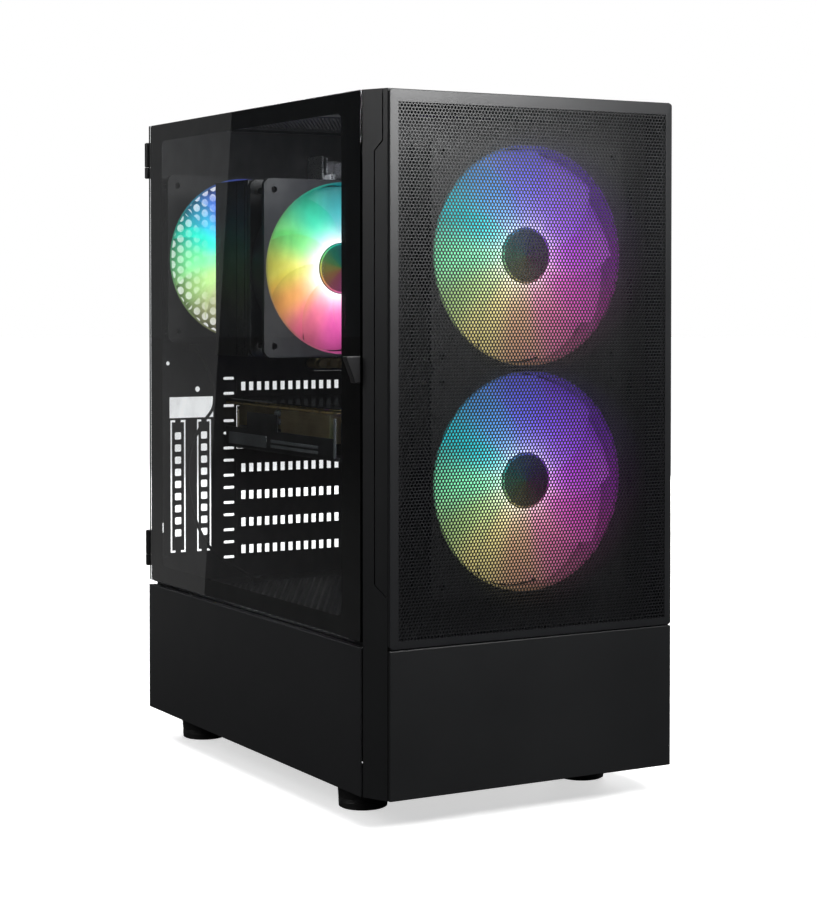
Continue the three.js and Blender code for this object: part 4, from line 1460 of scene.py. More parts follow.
def build_fan(name, body, stops, glow, core, fade, clear=0.0):
    """One lit fan: housing with struts, light ring, blades and hub."""
    low, high = corners(f"{name}_frame")
    middle = (low + high) / 2
    half = (high.x - low.x) / 2
    bore = half - 2.3 * MM
    hole = half - 7.5 * MM
    flange = 3.6 * MM
    bm = bmesh.new()
    bolt_holes = [
        circle(middle.x + across * hole, middle.z + up * hole, 2.2 * MM, 12) for across, up in CORNERS]
    outline = rounded(low.x, high.x, low.z, high.z, 5 * MM, 5)
    bore_loop = circle(middle.x, middle.z, bore, 64)
    for level in (low.y, high.y - flange):
        add_sheet(bm, outline, [bore_loop, *bolt_holes], facing("Y", level), flange)
    ring = circle(middle.x, middle.z, bore + 1.7 * MM, 64)
    add_sheet(
        bm, ring, [bore_loop], facing("Y", low.y + flange - 0.2 * MM), high.y - low.y - 2 * flange + 0.4 * MM)
    rotor_low, rotor_high = corners(f"{name}_rotor")
    hub = 17.6 * MM
    for spoke in range(4):
        angle = math.pi / 4 + spoke * math.pi / 2
        way = Vector((math.cos(angle), 0, math.sin(angle)))
        add_tube(
            bm,
            [
                Vector((middle.x, high.y - 1.9 * MM, middle.z)) + way * reach
                for reach in (hub - 2 * MM, hub + 12 * MM, bore + 1 * MM)],
            1.8 * MM, 8)
    add_lathe(
        bm, [(0, 0), (hub, 0), (hub, 3 * MM), (hub - 1 * MM, 3.4 * MM), (0, 3.4 * MM)],
        (middle.x, high.y, middle.z), "-Y", 40)
    pad = [
        (-4 * MM, 6.2 * MM), (6.2 * MM, 6.2 * MM), (6.2 * MM, -4 * MM), (3.4 * MM, -4 * MM),
        (3.4 * MM, 3.4 * MM), (-4 * MM, 3.4 * MM)]
    for across, up in CORNERS:
        corner = [(middle.x + across * (hole + u), middle.z + up * (hole + v)) for u, v in pad]
        add_sheet(bm, corner, [], facing("Y", low.y - 0.25 * MM), 0.3 * MM)
    publish(bm, f"{name}_housing", moulded(), CASE, [f"{name}_frame"])

    halo = lit(f"Lit Ring {name}", middle, bore * 0.6, bore + 2 * MM, stops, glow * 0.22, 0, 0.2)
    bm = bmesh.new()
    add_sheet(
        bm, circle(middle.x, middle.z, bore - 0.05 * MM, 64),
        [circle(middle.x, middle.z, bore - 0.55 * MM, 64)], facing("Y", low.y + 0.6 * MM), 16 * MM)
    add_sheet(
        bm, circle(middle.x, middle.z, bore + 0.9 * MM, 64), [circle(middle.x, middle.z, bore, 64)],
        facing("Y", low.y - 0.15 * MM), 0.3 * MM)
    publish(bm, f"{name}_light_ring", halo, CASE)

    axis = Vector((middle.x, rotor_low.y, middle.z))
    depth = rotor_high.y - rotor_low.y
    reach = bore - 1.6 * MM
    blades = bpy.context.scene.tower_fans.blades
    bm = bmesh.new()
    add_blades(bm, axis, hub, reach, depth, blades)
    add_lathe(
        bm,
        [
            (hub - 0.3 * MM, depth * 0.9), (hub + 0.15 * MM, depth * 0.9), (hub + 0.15 * MM, 1.2 * MM),
            (hub - 0.3 * MM, 1.2 * MM)],
        axis, "Y", 48)
    shade = lit(f"Lit Blades {name}", axis, hub, reach, stops, glow, core, fade, clear)
    publish(bm, f"{name}_blades", shade, body, [f"{name}_rotor"])
    bm = bmesh.new()
    add_lathe(
        bm,
        [
            (0, depth - 0.4 * MM), (hub - 0.4 * MM, depth - 0.4 * MM), (hub, depth - 1 * MM), (hub, 1 * MM),
            (hub - 0.4 * MM, 0.3 * MM), (hub - 1.2 * MM, 0.1 * MM), (hub * 0.8, 0.05 * MM),
            (hub * 0.78, 0.35 * MM), (hub * 0.3, 0.4 * MM), (hub * 0.28, 0.2 * MM), (0, 0.2 * MM)],
        (middle.x, rotor_low.y, middle.z), "Y", 48)
    # The hub cap glows faintly all over in the fan's colours though it holds no lamp: a painted sheen.
    cap = lit(f"Hub Sheen {name}", axis, 0.001, hub * 1.4, stops, glow * 0.03, 0, 0.0)
    publish(bm, f"{name}_hub", cap, body, [f"{name}_rotor"])
    bm = bmesh.new()
    rim = hub - 1.4 * MM
    add_ring(
        bm, [(rim, 0), (rim + 0.8 * MM, 0), (rim + 0.8 * MM, 0.3 * MM), (rim, 0.3 * MM), (rim, 0)], (0, 0, 0),
        48)
    stand = Matrix.Translation(
        (middle.x, rotor_low.y + 0.2 * MM, middle.z)) @ Matrix.Rotation(math.pi / 2, 4, "X")
    bmesh.ops.transform(bm, matrix=stand, verts=bm.verts)
    rainbow = lit(f"Hub Ring {name}", axis, 0.001, hub, stops, glow * 0.4, 0, 0.0)
    publish(bm, f"{name}_hub_ring", rainbow, body, [f"{name}_rotor"])


def build_fans():
    """The four lit fans, each with its own colours."""
    glow = bpy.context.scene.tower_fans
    build_fan("front_fan_upper", "front_fan_upper", FRONT_LIGHT, glow.front_glow, 0.25, 0.6)
    build_fan("front_fan_lower", "front_fan_lower", FRONT_LIGHT, glow.front_glow * 0.92, 0.25, 0.62)
    build_fan("rear_fan", "rear_fan", REAR_LIGHT, glow.rear_glow, 0.1, 0.35, 0.97)
    build_fan("cooler_fan", "cooler_fan", COOLER_LIGHT, glow.cooler_glow, 1.0, 0.83)


# ---- Board and cooler ---------------------------------------------------------------------


def build_board():
    """Main board and memory."""
    low, high = corners("motherboard")
    face = high.x - 1.6 * MM
    bm = bmesh.new()
    add_box(bm, (face, low.y, low.z), high, 0.2 * MM, 1)
    publish(bm, "main_board", printed_board(), CASE, ["motherboard"])
    build_board_parts(low, high, face)
    for place in ("front", "rear"):
        node = f"memory_module_{place}"
        low, high = corners(node)
        bm = bmesh.new()
        add_box(bm, low, high, 0.5 * MM)
        for rib in range(9):
            z = low.z + 8 * MM + rib * (high.z - low.z - 16 * MM) / 8
            add_box(
                bm, (low.x - 0.1 * MM, low.y - 0.25 * MM, z - 3 * MM),
                (high.x - 6 * MM, high.y + 0.25 * MM, z + 3 * MM), 0.2 * MM, 1)
        publish(bm, f"memory_stick_{place}", smooth_plastic(), CASE, [node])
    build_ports()


def build_board_parts(low, high, face):
    """Sockets, chips, capacitors and heat sinks standing on the board."""
    random.seed(7)
    bm = bmesh.new()
    cooler = centre_of("cooler_base")
    add_box(
        bm, (face - 4.5 * MM, cooler.y - 27 * MM, cooler.z - 27 * MM),
        (face + 0.2 * MM, cooler.y + 27 * MM, cooler.z + 27 * MM), 0.6 * MM)
    for row in (1, 2, 3, 4):
        level = slot_level(row) + 4 * MM
        back = high.y - 58 * MM
        add_box(
            bm, (face - 10.5 * MM, back - 88 * MM, level), (face + 0.2 * MM, back, level + 7.4 * MM),
            0.5 * MM)
    for place in ("front", "rear"):
        stick_low, stick_high = corners(f"memory_module_{place}")
        add_box(
            bm, (stick_high.x - 2 * MM, stick_low.y - 1.4 * MM, stick_low.z - 4 * MM),
            (face + 0.2 * MM, stick_high.y + 1.4 * MM, stick_high.z + 4 * MM), 0.4 * MM)
    add_box(
        bm, (face - 14 * MM, low.y + 2 * MM, low.z + 120 * MM),
        (face + 0.2 * MM, low.y + 12 * MM, low.z + 172 * MM), 0.6 * MM)
    for count in range(4):
        y = low.y + 3 * MM
        z = low.z + 20 * MM + count * 20 * MM
        add_box(bm, (face - 8 * MM, y, z), (face + 0.2 * MM, y + 16 * MM, z + 14 * MM), 0.5 * MM)
    for count in range(60):
        y = random.uniform(low.y + 6 * MM, high.y - 60 * MM)
        z = random.uniform(low.z + 6 * MM, low.z + 84 * MM)
        width = random.uniform(2, 8) * MM
        add_box(
            bm, (face - random.uniform(0.8, 2.5) * MM, y, z), (face + 0.1 * MM, y + width, z + width * 0.7),
            0.15 * MM, 1)
    publish(bm, "board_sockets", smooth_plastic(), CASE, ["motherboard"])

    bm = bmesh.new()
    for count in range(9):
        z = cooler.z - 48 * MM + count * 12 * MM
        add_lathe(
            bm, [(0, 0), (3.2 * MM, 0), (3.2 * MM, 7 * MM), (2.8 * MM, 7.6 * MM), (0, 7.6 * MM)],
            (face - 7.6 * MM, cooler.y + 33 * MM, z), "X", 16)
    for fin in range(22):
        y = cooler.y - 34 * MM + fin * 4.1 * MM
        add_box(
            bm, (face - 25 * MM, y, high.z - 21 * MM), (face - 5 * MM, y + 2.4 * MM, high.z - 3.5 * MM),
            0.3 * MM, 1)
    add_box(
        bm, (face - 7 * MM, cooler.y - 34 * MM, high.z - 21 * MM),
        (face - 0.1 * MM, cooler.y + 56 * MM, high.z - 3.5 * MM), 0.5 * MM)
    publish(bm, "board_heat_sinks", fin_aluminium(), CASE, ["motherboard"])


# Rows of sockets from the top of the port block: distance down and height in millimetres, and sockets abreast.
PORT_ROWS = ((0, 15, 1), (17, 16, 2), (35, 15, 1), (52, 17, 2), (71, 14, 1), (87, 17, 2), (106, 16, 1))


def build_ports():
    """Shielded sockets along the board's rear edge: metal shells, dark mouths and round audio jacks."""
    low, high = corners("io_port_block")
    shells = bmesh.new()
    mouths = bmesh.new()
    cuts = []
    span = high.x - low.x
    for start, height, across in PORT_ROWS:
        z0 = high.z - (start + height) * MM
        z1 = high.z - start * MM
        width = (span - 8 * MM - (across - 1) * 2 * MM) / across * (0.72 if across == 1 else 1)
        for count in range(across):
            x1 = high.x - 2 * MM - count * (width + 2 * MM)
            x0 = x1 - width
            wall = 0.9 * MM
            cuts.append(rectangle(x0 + wall, x1 - wall, z0 + wall, z1 - wall))
            add_sheet(
                shells, rectangle(x0, x1, z0, z1), [rectangle(x0 + wall, x1 - wall, z0 + wall, z1 - wall)],
                facing("Y", high.y - 14 * MM), 14 * MM)
            add_box(shells, (x0, low.y + 6 * MM, z0), (x1, high.y - 13.8 * MM, z1), 0.4 * MM, 1)
            add_box(
                mouths, (x0 + 2.4 * MM, high.y - 12 * MM, (z0 + z1) / 2 - 1.4 * MM),
                (x1 - 2.4 * MM, high.y - 1.5 * MM, (z0 + z1) / 2 + 1.4 * MM), 0.2 * MM, 1)
    for count in range(3):
        for across in range(2):
            x = high.x - 8 * MM - across * 14 * MM
            z = low.z + 6 * MM + count * 12 * MM
            cuts.append(circle(x, z, 4.8 * MM, 20))
            add_lathe(
                shells,
                [
                    (2.0 * MM, 0), (5.2 * MM, 0), (5.2 * MM, 13 * MM), (4.6 * MM, 14 * MM),
                    (2.0 * MM, 14 * MM), (2.0 * MM, 0.01 * MM)],
                (x, high.y - 14 * MM, z), "Y", 20)
            add_box(
                mouths, (x - 6 * MM, low.y + 8 * MM, z - 5.5 * MM),
                (x + 6 * MM, high.y - 13 * MM, z + 5.5 * MM), 0.4 * MM, 1)
    for inset, z0, z1 in ((-7, -14, 4), (-3.5, -10, 3), (1, -16, -8)):
        x = low.x + inset * MM
        add_box(
            shells, (x, high.y - 26 * MM, high.z + z0 * MM),
            (x + 1.4 * MM, high.y - 3 * MM, high.z + z1 * MM), 0.3 * MM, 1)
    add_box(
        shells, (low.x - 6 * MM, high.y - 24 * MM, high.z - 14 * MM),
        (low.x + 6 * MM, high.y - 6 * MM, high.z - 9 * MM), 0.5 * MM, 1)
    brass = bmesh.new()
    for across in range(3):
        add_lathe(
            brass,
            [(0, 0), (3.4 * MM, 0), (3.4 * MM, 6 * MM), (4 * MM, 6.5 * MM), (4 * MM, 20 * MM), (0, 20 * MM)],
            (low.x + (across * 9 - 5) * MM, high.y - 24 * MM, low.z + 4.5 * MM), "Y", 16)
    publish(brass, "port_brass", brass_tone(), CASE, ["io_port_block"])
    publish(shells, "port_shells", bright_steel(), CASE, ["io_port_block"])
    publish(mouths, "port_tongues", smooth_plastic(), CASE, ["io_port_block"])
    bm = bmesh.new()
    inner = corners("chassis_rear")[0].y + 0.2 * MM
    outline = rectangle(low.x - 1.4 * MM, high.x + 0.3 * MM, low.z - 1.4 * MM, high.z + 1.4 * MM)
    add_sheet(bm, outline, cuts, facing("Y", inner), 0.6 * MM)
    publish(bm, "port_shield", shield_steel(), CASE, ["io_port_block"])


def build_cooler():
    """Fin stack with its cover, heat pipes and base."""
    low, high = corners("cooler_fin_stack")
    count = 46
    pitch = (high.x - low.x - 3 * MM) / (count - 1)
    fin = bpy.data.meshes.new("fin")
    bm = bmesh.new()
    depth, height = high.y - low.y, high.z - low.z
    teeth = []
    for step in range(9):
        along = -depth / 2 + depth * step / 8
        teeth.append((along, height / 2 - (1.6 * MM if step % 2 else 0)))
    outline = [(-depth / 2, -height / 2), (depth / 2, -height / 2), *reversed(teeth)]
    add_sheet(bm, outline, [], lambda u, v, w: Vector((w - 0.2 * MM, u, v)), 0.4 * MM)
    bm.to_mesh(fin)
    bm.free()
    mesh = field_mesh("cooler_fins", fin, count, 1, pitch, pitch, 0, fin_aluminium(), 0.000001)
    mesh.transform(
        Matrix.Translation(((low.x + high.x) / 2 + 1 * MM, (low.y + high.y) / 2, (low.z + high.z) / 2)))
    publish_mesh(mesh, "cooler_fins", fin_aluminium(), CASE, ["cooler_fin_stack"])

    bm = bmesh.new()
    lid = 1.6 * MM
    seams = [low.y, low.y + 5.2 * MM, low.y + 18 * MM, high.y]
    for near, far in zip(seams, seams[1:]):
        add_box(bm, (low.x, near + 0.3 * MM, low.z), (low.x + lid, far - 0.3 * MM, high.z), 0.4 * MM)
    for z0, z1 in ((low.z, low.z + 1 * MM), (high.z - 1 * MM, high.z)):
        add_box(bm, (low.x, low.y, z0), (high.x, high.y, z1), 0.2 * MM, 1)
    for z in (low.z + 14 * MM, high.z - 14 * MM):
        add_screw(bm, (low.x + 0.9 * MM, low.y + depth * 0.62, z), 1.8 * MM, 1.1 * MM, "-X")
    publish(bm, "cooler_cover", smooth_plastic(), CASE, ["cooler_fin_stack"])

    base_low, base_high = corners("cooler_base")
    block_low = base_high.x - 11.7 * MM
    middle = (base_low + base_high) / 2
    bm = bmesh.new()
    for pipe in range(4):
        z = middle.z - 15 * MM + pipe * 10 * MM
        spread = (pipe - 1.5) * 9 * MM
        for side in (-1, 1):
            y = middle.y + side * (8 + 4 * (pipe % 2)) * MM
            points = [
                (block_low + 5 * MM, middle.y + side * 3 * MM, z),
                (block_low - 2 * MM, middle.y + side * 6 * MM, z), (block_low - 14 * MM, y, z + spread * 0.3),
                (high.x - 2 * MM, y, z + spread), (low.x + 4 * MM, y, z + spread)]
            add_tube(bm, smooth_path(points, 5), 2.9 * MM, 12)
    publish(bm, "heat_pipes", copper(), CASE, ["cooler_base"])
    bm = bmesh.new()
    add_box(bm, (block_low, base_low.y, base_low.z), (base_high.x, base_high.y, base_high.z), 0.8 * MM)
    for side in (-1, 1):
        add_box(
            bm, (block_low + 3 * MM, middle.y - 6 * MM, middle.z + side * 20 * MM - 6 * MM),
            (block_low + 5 * MM, middle.y + 6 * MM, middle.z + side * 32 * MM + 6 * MM), 0.5 * MM)
    publish(bm, "cooler_block", fin_aluminium(), CASE, ["cooler_base"])


# ---- Graphics card ------------------------------------------------------------------------


def build_card():
    """Graphics card: plate, board, fins, shroud, trim and bracket."""
    low, high = corners("graphics_board")
    shroud_low, shroud_high = corners("graphics_shroud")
    bm = bmesh.new()
    plate = high.z - 1.2 * MM
    slots = [
        rounded(
            low.x + 12 * MM + count * 9 * MM, low.x + 16 * MM + count * 9 * MM, low.y + 10 * MM,
            low.y + 42 * MM, 1.9 * MM)
        for count in range(5)]
    add_sheet(bm, rounded(low.x, high.x, low.y, high.y, 4 * MM), slots, facing("Z", plate), 1.1 * MM)
    for x in (low.x + 10 * MM, high.x - 12 * MM):
        for y in (low.y + 60 * MM, low.y + 120 * MM, high.y - 12 * MM):
            add_screw(bm, (x, y, high.z - 0.25 * MM), 2 * MM, 0.25 * MM, "Z")
    publish(bm, "card_back_plate", gloss_black(), CASE, ["graphics_board"])
    bm = bmesh.new()
    add_box(
        bm, (low.x + 2 * MM, low.y + 8 * MM, low.z), (high.x - 0.5 * MM, high.y, low.z + 1.6 * MM), 0.2 * MM,
        1)
    publish(
        bm, "card_circuit", printed_board("Card Board", (0.20, 0.15, 0.06)), CASE,
        ["graphics_board"])
    bm = bmesh.new()
    for count in range(14):
        y = low.y + 30 * MM + count * 8 * MM
        add_box(
            bm, (low.x + 6 * MM, y, low.z + 1.5 * MM), (low.x + 10 * MM, y + 4 * MM, plate - 0.1 * MM),
            0.2 * MM, 1)
    publish(bm, "card_chips", brass_tone(), CASE, ["graphics_board"])

    low, high = shroud_low, shroud_high
    fins_top = high.z - 0.4 * MM
    bm = bmesh.new()
    for fin in range(44):
        y = low.y + 12 * MM + fin * 1.7 * MM
        add_box(
            bm, (low.x + 0.6 * MM, y - 0.3 * MM, low.z + 11 * MM), (high.x - 6 * MM, y + 0.3 * MM, fins_top))
    for fin in range(34):
        y = low.y + 102 * MM + fin * 1.9 * MM
        add_box(
            bm, (low.x + 6 * MM, y - 0.25 * MM, low.z + 16 * MM), (high.x - 6 * MM, y + 0.25 * MM, fins_top))
    publish(bm, "card_fins", gold_fin(), CASE, ["graphics_shroud"])
    bm = bmesh.new()
    for pipe in range(2):
        z = low.z + 22 * MM + pipe * 6 * MM
        add_tube(
            bm,
            smooth_path(
                [
                    (low.x + 20 * MM, low.y + 84 * MM, z), (low.x + 5 * MM, low.y + 90 * MM, z),
                    (low.x + 3 * MM, low.y + 96 * MM, z), (low.x + 12 * MM, low.y + 106 * MM, z)],
                5),
            2.2 * MM, 10)
    publish(bm, "card_heat_pipes", bright_steel(), CASE, ["graphics_shroud"])

    bm = bmesh.new()
    wells = [centre_of("graphics_fan_front"), centre_of("graphics_fan_rear")]
    openings = [circle(well.x, well.y, 42.6 * MM, 48) for well in wells]
    add_sheet(bm, rounded(low.x, high.x, low.y, high.y, 6 * MM), openings, facing("Z", low.z), 2.2 * MM)
    for well in wells:
        add_sheet(
            bm, circle(well.x, well.y, 43.4 * MM, 48), [circle(well.x, well.y, 42.4 * MM, 48)],
            facing("Z", low.z + 1.8 * MM), 12 * MM)
        for spoke in range(3):
            angle = 0.5 + spoke * 2 * math.pi / 3
            way = Vector((math.cos(angle), math.sin(angle), 0))
            start = Vector((well.x, well.y, low.z + 14 * MM))
            add_tube(bm, [start + way * 6 * MM, start + way * 24 * MM, start + way * 43 * MM], 1.4 * MM, 8)
    rail = 15 * MM
    add_box(
        bm, (low.x, low.y + 5 * MM, low.z + 1 * MM), (low.x + 1.6 * MM, high.y - 4 * MM, low.z + rail),
        0.4 * MM)
    add_box(
        bm, (high.x - 1.6 * MM, low.y + 5 * MM, low.z + 1 * MM), (high.x, high.y - 4 * MM, low.z + rail),
        0.4 * MM)
    add_box(
        bm, (low.x + 4 * MM, low.y, low.z + 1 * MM), (high.x - 4 * MM, low.y + 1.6 * MM, high.z), 0.4 * MM)
    add_box(
        bm, (low.x, low.y + 90 * MM, low.z + rail - 1 * MM),
        (low.x + 1.2 * MM, high.y - 40 * MM, high.z - 4 * MM), 0.4 * MM)
    publish(bm, "card_shroud", smooth_plastic(), CASE, ["graphics_shroud"])

    bm = bmesh.new()
    side = low.x - 0.5 * MM
    add_box(
        bm, (side, high.y - 73 * MM, low.z + 2.5 * MM), (side + 0.7 * MM, high.y - 10 * MM, low.z + 11 * MM),
        0.3 * MM)
    for bar in range(2):
        z = low.z + 3.2 * MM + bar * 3.6 * MM
        add_box(bm, (side, low.y + 27 * MM, z), (side + 0.7 * MM, low.y + 100 * MM, z + 2.2 * MM), 0.3 * MM)
    add_box(
        bm, (side, low.y + 0.5 * MM, low.z + 2 * MM), (side + 0.6 * MM, low.y + 3.6 * MM, high.z - 2 * MM),
        0.3 * MM)
    publish(bm, "card_trim", trim_grey(), CASE, ["graphics_shroud"])

    low, high = corners("graphics_bracket")
    bm = bmesh.new()
    vents = [
        rectangle(
            low.x + 6 * MM + count * 6 * MM, low.x + 9 * MM + count * 6 * MM, low.z + 3 * MM, low.z + 13 * MM)
        for count in range(14)]
    sockets = [
        rectangle(
            low.x + 14 * MM + count * 22 * MM, low.x + 30 * MM + count * 22 * MM, high.z - 10 * MM,
            high.z - 4 * MM)
        for count in range(3)]
    add_sheet(
        bm, rectangle(low.x, high.x, low.z, high.z), [*vents, *sockets], facing("Y", high.y - 1 * MM),
        0.9 * MM)
    publish(bm, "card_bracket", bright_steel(), CASE, ["graphics_bracket"])
    for place in ("front", "rear"):
        build_card_fan(place)


def build_card_fan(place):
    """One of the card's fans, facing down."""
    node = f"graphics_fan_{place}"
    low, high = corners(node)
    middle = (low + high) / 2
    bm = bmesh.new()
    add_blades(bm, Vector((0, 0, 0)), 15 * MM, 41 * MM, high.z - low.z - 1 * MM, 11, 0.5, 0.8)
    add_lathe(
        bm,
        [
            (0, 8 * MM), (15 * MM, 8 * MM), (15 * MM, 1.2 * MM), (14 * MM, 0.3 * MM), (11 * MM, 0),
            (10.6 * MM, 0.4 * MM), (0, 0.4 * MM)],
        (0, 0, 0), "Y", 32)
    turn = Matrix.Translation((middle.x, middle.y, low.z + 0.5 * MM)) @ Matrix.Rotation(math.pi / 2, 4, "X")
    bmesh.ops.transform(bm, matrix=turn, verts=bm.verts)
    publish(bm, f"card_fan_{place}", smooth_plastic(), node, [node])


# ---- Power supply and storage ---------------------------------------------------------------


def build_power():
    """Power supply with its grilles, inlet and rocker, and the drive."""
    low, high = corners("power_supply")
    inlet_low, inlet_high = corners("psu_inlet")
    rocker_low, rocker_high = corners("psu_rocker_switch")
    wall = 1.0 * MM
    bm = bmesh.new()
    pitch = 6.2 * MM
    inlet_hole = rectangle(
        inlet_low.x - 0.2 * MM, inlet_high.x + 0.2 * MM, inlet_low.z - 0.2 * MM, inlet_high.z + 0.2 * MM)
    bay = rectangle(
        rocker_low.x - 2 * MM, rocker_high.x + 2 * MM, rocker_low.z - 2.5 * MM, rocker_high.z + 2.5 * MM)
    holes = [inlet_hole, bay]
    keep_out = (inlet_low.x - 5 * MM, rocker_high.x + 6 * MM, inlet_low.z - 5 * MM, inlet_high.z + 5 * MM)
    for row in range(14):
        for column in range(24):
            x = low.x + 8 * MM + (column + 0.5 * (row % 2)) * pitch
            z = low.z + 8 * MM + row * pitch * 0.866
            if x > high.x - 8 * MM or z > high.z - 7 * MM:
                continue
            if keep_out[0] < x < keep_out[1] and keep_out[2] < z < keep_out[3]:
                continue
            holes.append(circle(x, z, 2.6 * MM, 6, math.pi / 6))
    add_sheet(bm, rectangle(low.x, high.x, low.z, high.z), holes, facing("Y", high.y - wall), wall)
    fan = Vector(((low.x + high.x) / 2, (low.y + high.y) / 2 + 2 * MM))
    add_sheet(
        bm, rectangle(low.x, high.x, low.y, high.y - wall), [circle(fan.x, fan.y, 61 * MM, 48)],
        facing("Z", low.z), wall)
    for ring in range(6):
        radius = (12 + ring * 9.5) * MM
        points = [
            Vector((
                fan.x + radius * math.cos(step * math.pi / 24),
                fan.y + radius * math.sin(step * math.pi / 24), low.z + 1.2 * MM))
            for step in range(49)]
        add_tube(bm, points, 0.8 * MM, 6)
    add_box(bm, (low.x, low.y, low.z), (low.x + wall, high.y - wall, high.z), 0.3 * MM, 1)
    add_box(bm, (high.x - wall, low.y, low.z), (high.x, high.y - wall, high.z), 0.3 * MM, 1)
    add_box(bm, (low.x, low.y, high.z - wall), (high.x, high.y - wall, high.z), 0.3 * MM, 1)
    add_box(bm, (low.x, low.y, low.z), (high.x, low.y + wall, high.z), 0.3 * MM, 1)
    add_box(
        bm, (low.x + 3 * MM, low.y + 3 * MM, low.z + 30 * MM),
        (high.x - 3 * MM, high.y - 20 * MM, high.z - 3 * MM), 1 * MM, 1)
    publish(bm, "supply_case", powder_coat(), CASE, ["power_supply"])

    bm = bmesh.new()
    rim = 1.5 * MM
    add_sheet(
        bm, rounded(inlet_low.x, inlet_high.x, inlet_low.z, inlet_high.z, 1.5 * MM),
        [rounded(inlet_low.x + rim, inlet_high.x - rim, inlet_low.z + rim, inlet_high.z - rim, 3 * MM)],
        facing("Y", inlet_low.y), inlet_high.y - inlet_low.y)
    add_box(
        bm, (inlet_low.x + 1 * MM, inlet_low.y, inlet_low.z + 1 * MM),
        (inlet_high.x - 1 * MM, inlet_low.y + 2 * MM, inlet_high.z - 1 * MM))
    publish(bm, "inlet_shell", smooth_plastic(), CASE, ["psu_inlet"])
    middle = (inlet_low + inlet_high) / 2
    bm = bmesh.new()
    for x, z in ((-7, -1.5), (7, -1.5), (0, 2.5)):
        add_box(
            bm, (middle.x + (x - 1) * MM, inlet_low.y + 1.8 * MM, middle.z + (z - 2.5) * MM),
            (middle.x + (x + 1) * MM, inlet_high.y - 5 * MM, middle.z + (z + 2.5) * MM), 0.3 * MM)
    publish(bm, "inlet_pins", bright_steel(), CASE, ["psu_inlet"])

    bm = bmesh.new()
    rocker = frame["nodes"]["psu_rocker_switch"]
    bm.from_mesh(rocker.data)
    bmesh.ops.transform(bm, matrix=rocker.matrix_world, verts=bm.verts)
    bmesh.ops.remove_doubles(bm, verts=bm.verts, dist=1e-6)
    bmesh.ops.dissolve_limit(bm, angle_limit=0.02, verts=bm.verts, edges=bm.edges)
    bmesh.ops.bevel(bm, geom=list(bm.edges), offset=0.4 * MM, segments=2, profile=0.5, affect="EDGES")
    publish(bm, "supply_rocker", smooth_plastic(), "psu_rocker", ["psu_rocker_switch"])

    low, high = corners("solid_state_drive")
    bm = bmesh.new()
    add_box(bm, low, high, 0.8 * MM)
    add_box(
        bm, (high.x - 0.1 * MM, low.y + 8 * MM, low.z + 8 * MM),
        (high.x + 0.15 * MM, high.y - 8 * MM, high.z - 8 * MM), 0.1 * MM, 1)
    publish(bm, "drive_case", trim_grey(), CASE, ["solid_state_drive"])


# ---- Top ports and filters ----------------------------------------------------------------


def build_top():
    """Port strip with its buttons and sockets."""
    low, high = corners("io_panel")
    middle = (low.y + high.y) / 2
    bm = bmesh.new()
    holes = []
    for node in ("power_button", "reset_button"):
        button_low, button_high = corners(node)
        holes.append(circle(
            (button_low.x + button_high.x) / 2, (button_low.y + button_high.y) / 2,
            (button_high.x - button_low.x) / 2 + 0.3 * MM, 32))
    for node in ("usb_port_left", "usb_port_right"):
        port_low, port_high = corners(node)
        holes.append(rectangle(
            port_low.x - 0.2 * MM, port_high.x + 0.2 * MM, port_low.y - 0.2 * MM, port_high.y + 0.2 * MM))
    jack_low, jack_high = corners("audio_jack")
    jack = (jack_low + jack_high) / 2
    holes.append(circle(jack.x, jack.y, (jack_high.x - jack_low.x) / 2 + 0.2 * MM, 24))
    add_sheet(bm, rounded(low.x, high.x, low.y, high.y, 3 * MM, 5), holes, facing("Z", low.z), high.z - low.z)
    publish(bm, "port_strip", moulded(), CASE, ["io_panel"])

    for node, ring in (("power_button", True), ("reset_button", False)):
        low, high = corners(node)
        centre = (low + high) / 2
        radius = (high.x - low.x) / 2
        height = high.z - low.z
        bm = bmesh.new()
        add_lathe(
            bm,
            [
                (0, 0), (radius, 0), (radius, height - 0.7 * MM), (radius - 0.6 * MM, height - 0.1 * MM),
                (radius * 0.6, height), (radius * 0.3, height - 0.25 * MM), (0, height - 0.3 * MM)],
            (centre.x, centre.y, low.z), "Z", 40)
        publish(bm, f"{node}_cap", moulded(), node, [node])
        if ring:
            bm = bmesh.new()
            profile = [
                (radius * 0.72, 0), (radius * 0.8, 0), (radius * 0.8, 0.12 * MM), (radius * 0.72, 0.12 * MM),
                (radius * 0.72, 0)]
            add_ring(bm, profile, (centre.x, centre.y, high.z - 0.14 * MM), 40)
            publish(bm, "power_light_ring", trim_grey(), node, [node])
    for node in ("usb_port_left", "usb_port_right"):
        low, high = corners(node)
        wall = 0.7 * MM
        bm = bmesh.new()
        add_sheet(
            bm, rectangle(low.x, high.x, low.y, high.y),
            [rectangle(low.x + wall, high.x - wall, low.y + wall, high.y - wall)],
            facing("Z", low.z + 1 * MM), high.z - low.z - 1 * MM)
        add_box(bm, low, (high.x, high.y, low.z + 1.5 * MM))
        publish(bm, f"{node}_shell", bright_steel(), CASE, [node])
        bm = bmesh.new()
        add_box(
            bm, (low.x + 1.8 * MM, low.y + 1.2 * MM, low.z + 1 * MM),
            (high.x - 1.8 * MM, low.y + 3 * MM, high.z - 1.4 * MM), 0.2 * MM)
        publish(bm, f"{node}_tongue", usb_blue(), CASE, [node])
    low, high = corners("audio_jack")
    radius = (high.x - low.x) / 2
    bm = bmesh.new()
    add_ring(
        bm,
        [
            (1.8 * MM, 0), (radius, 0), (radius, high.z - low.z - 0.4 * MM),
            (radius - 0.5 * MM, high.z - low.z), (1.8 * MM, high.z - low.z), (1.8 * MM, 0)],
        (jack.x, jack.y, low.z), 32)
    publish(bm, "audio_socket", smooth_plastic(), CASE, ["audio_jack"])
    build_filters()


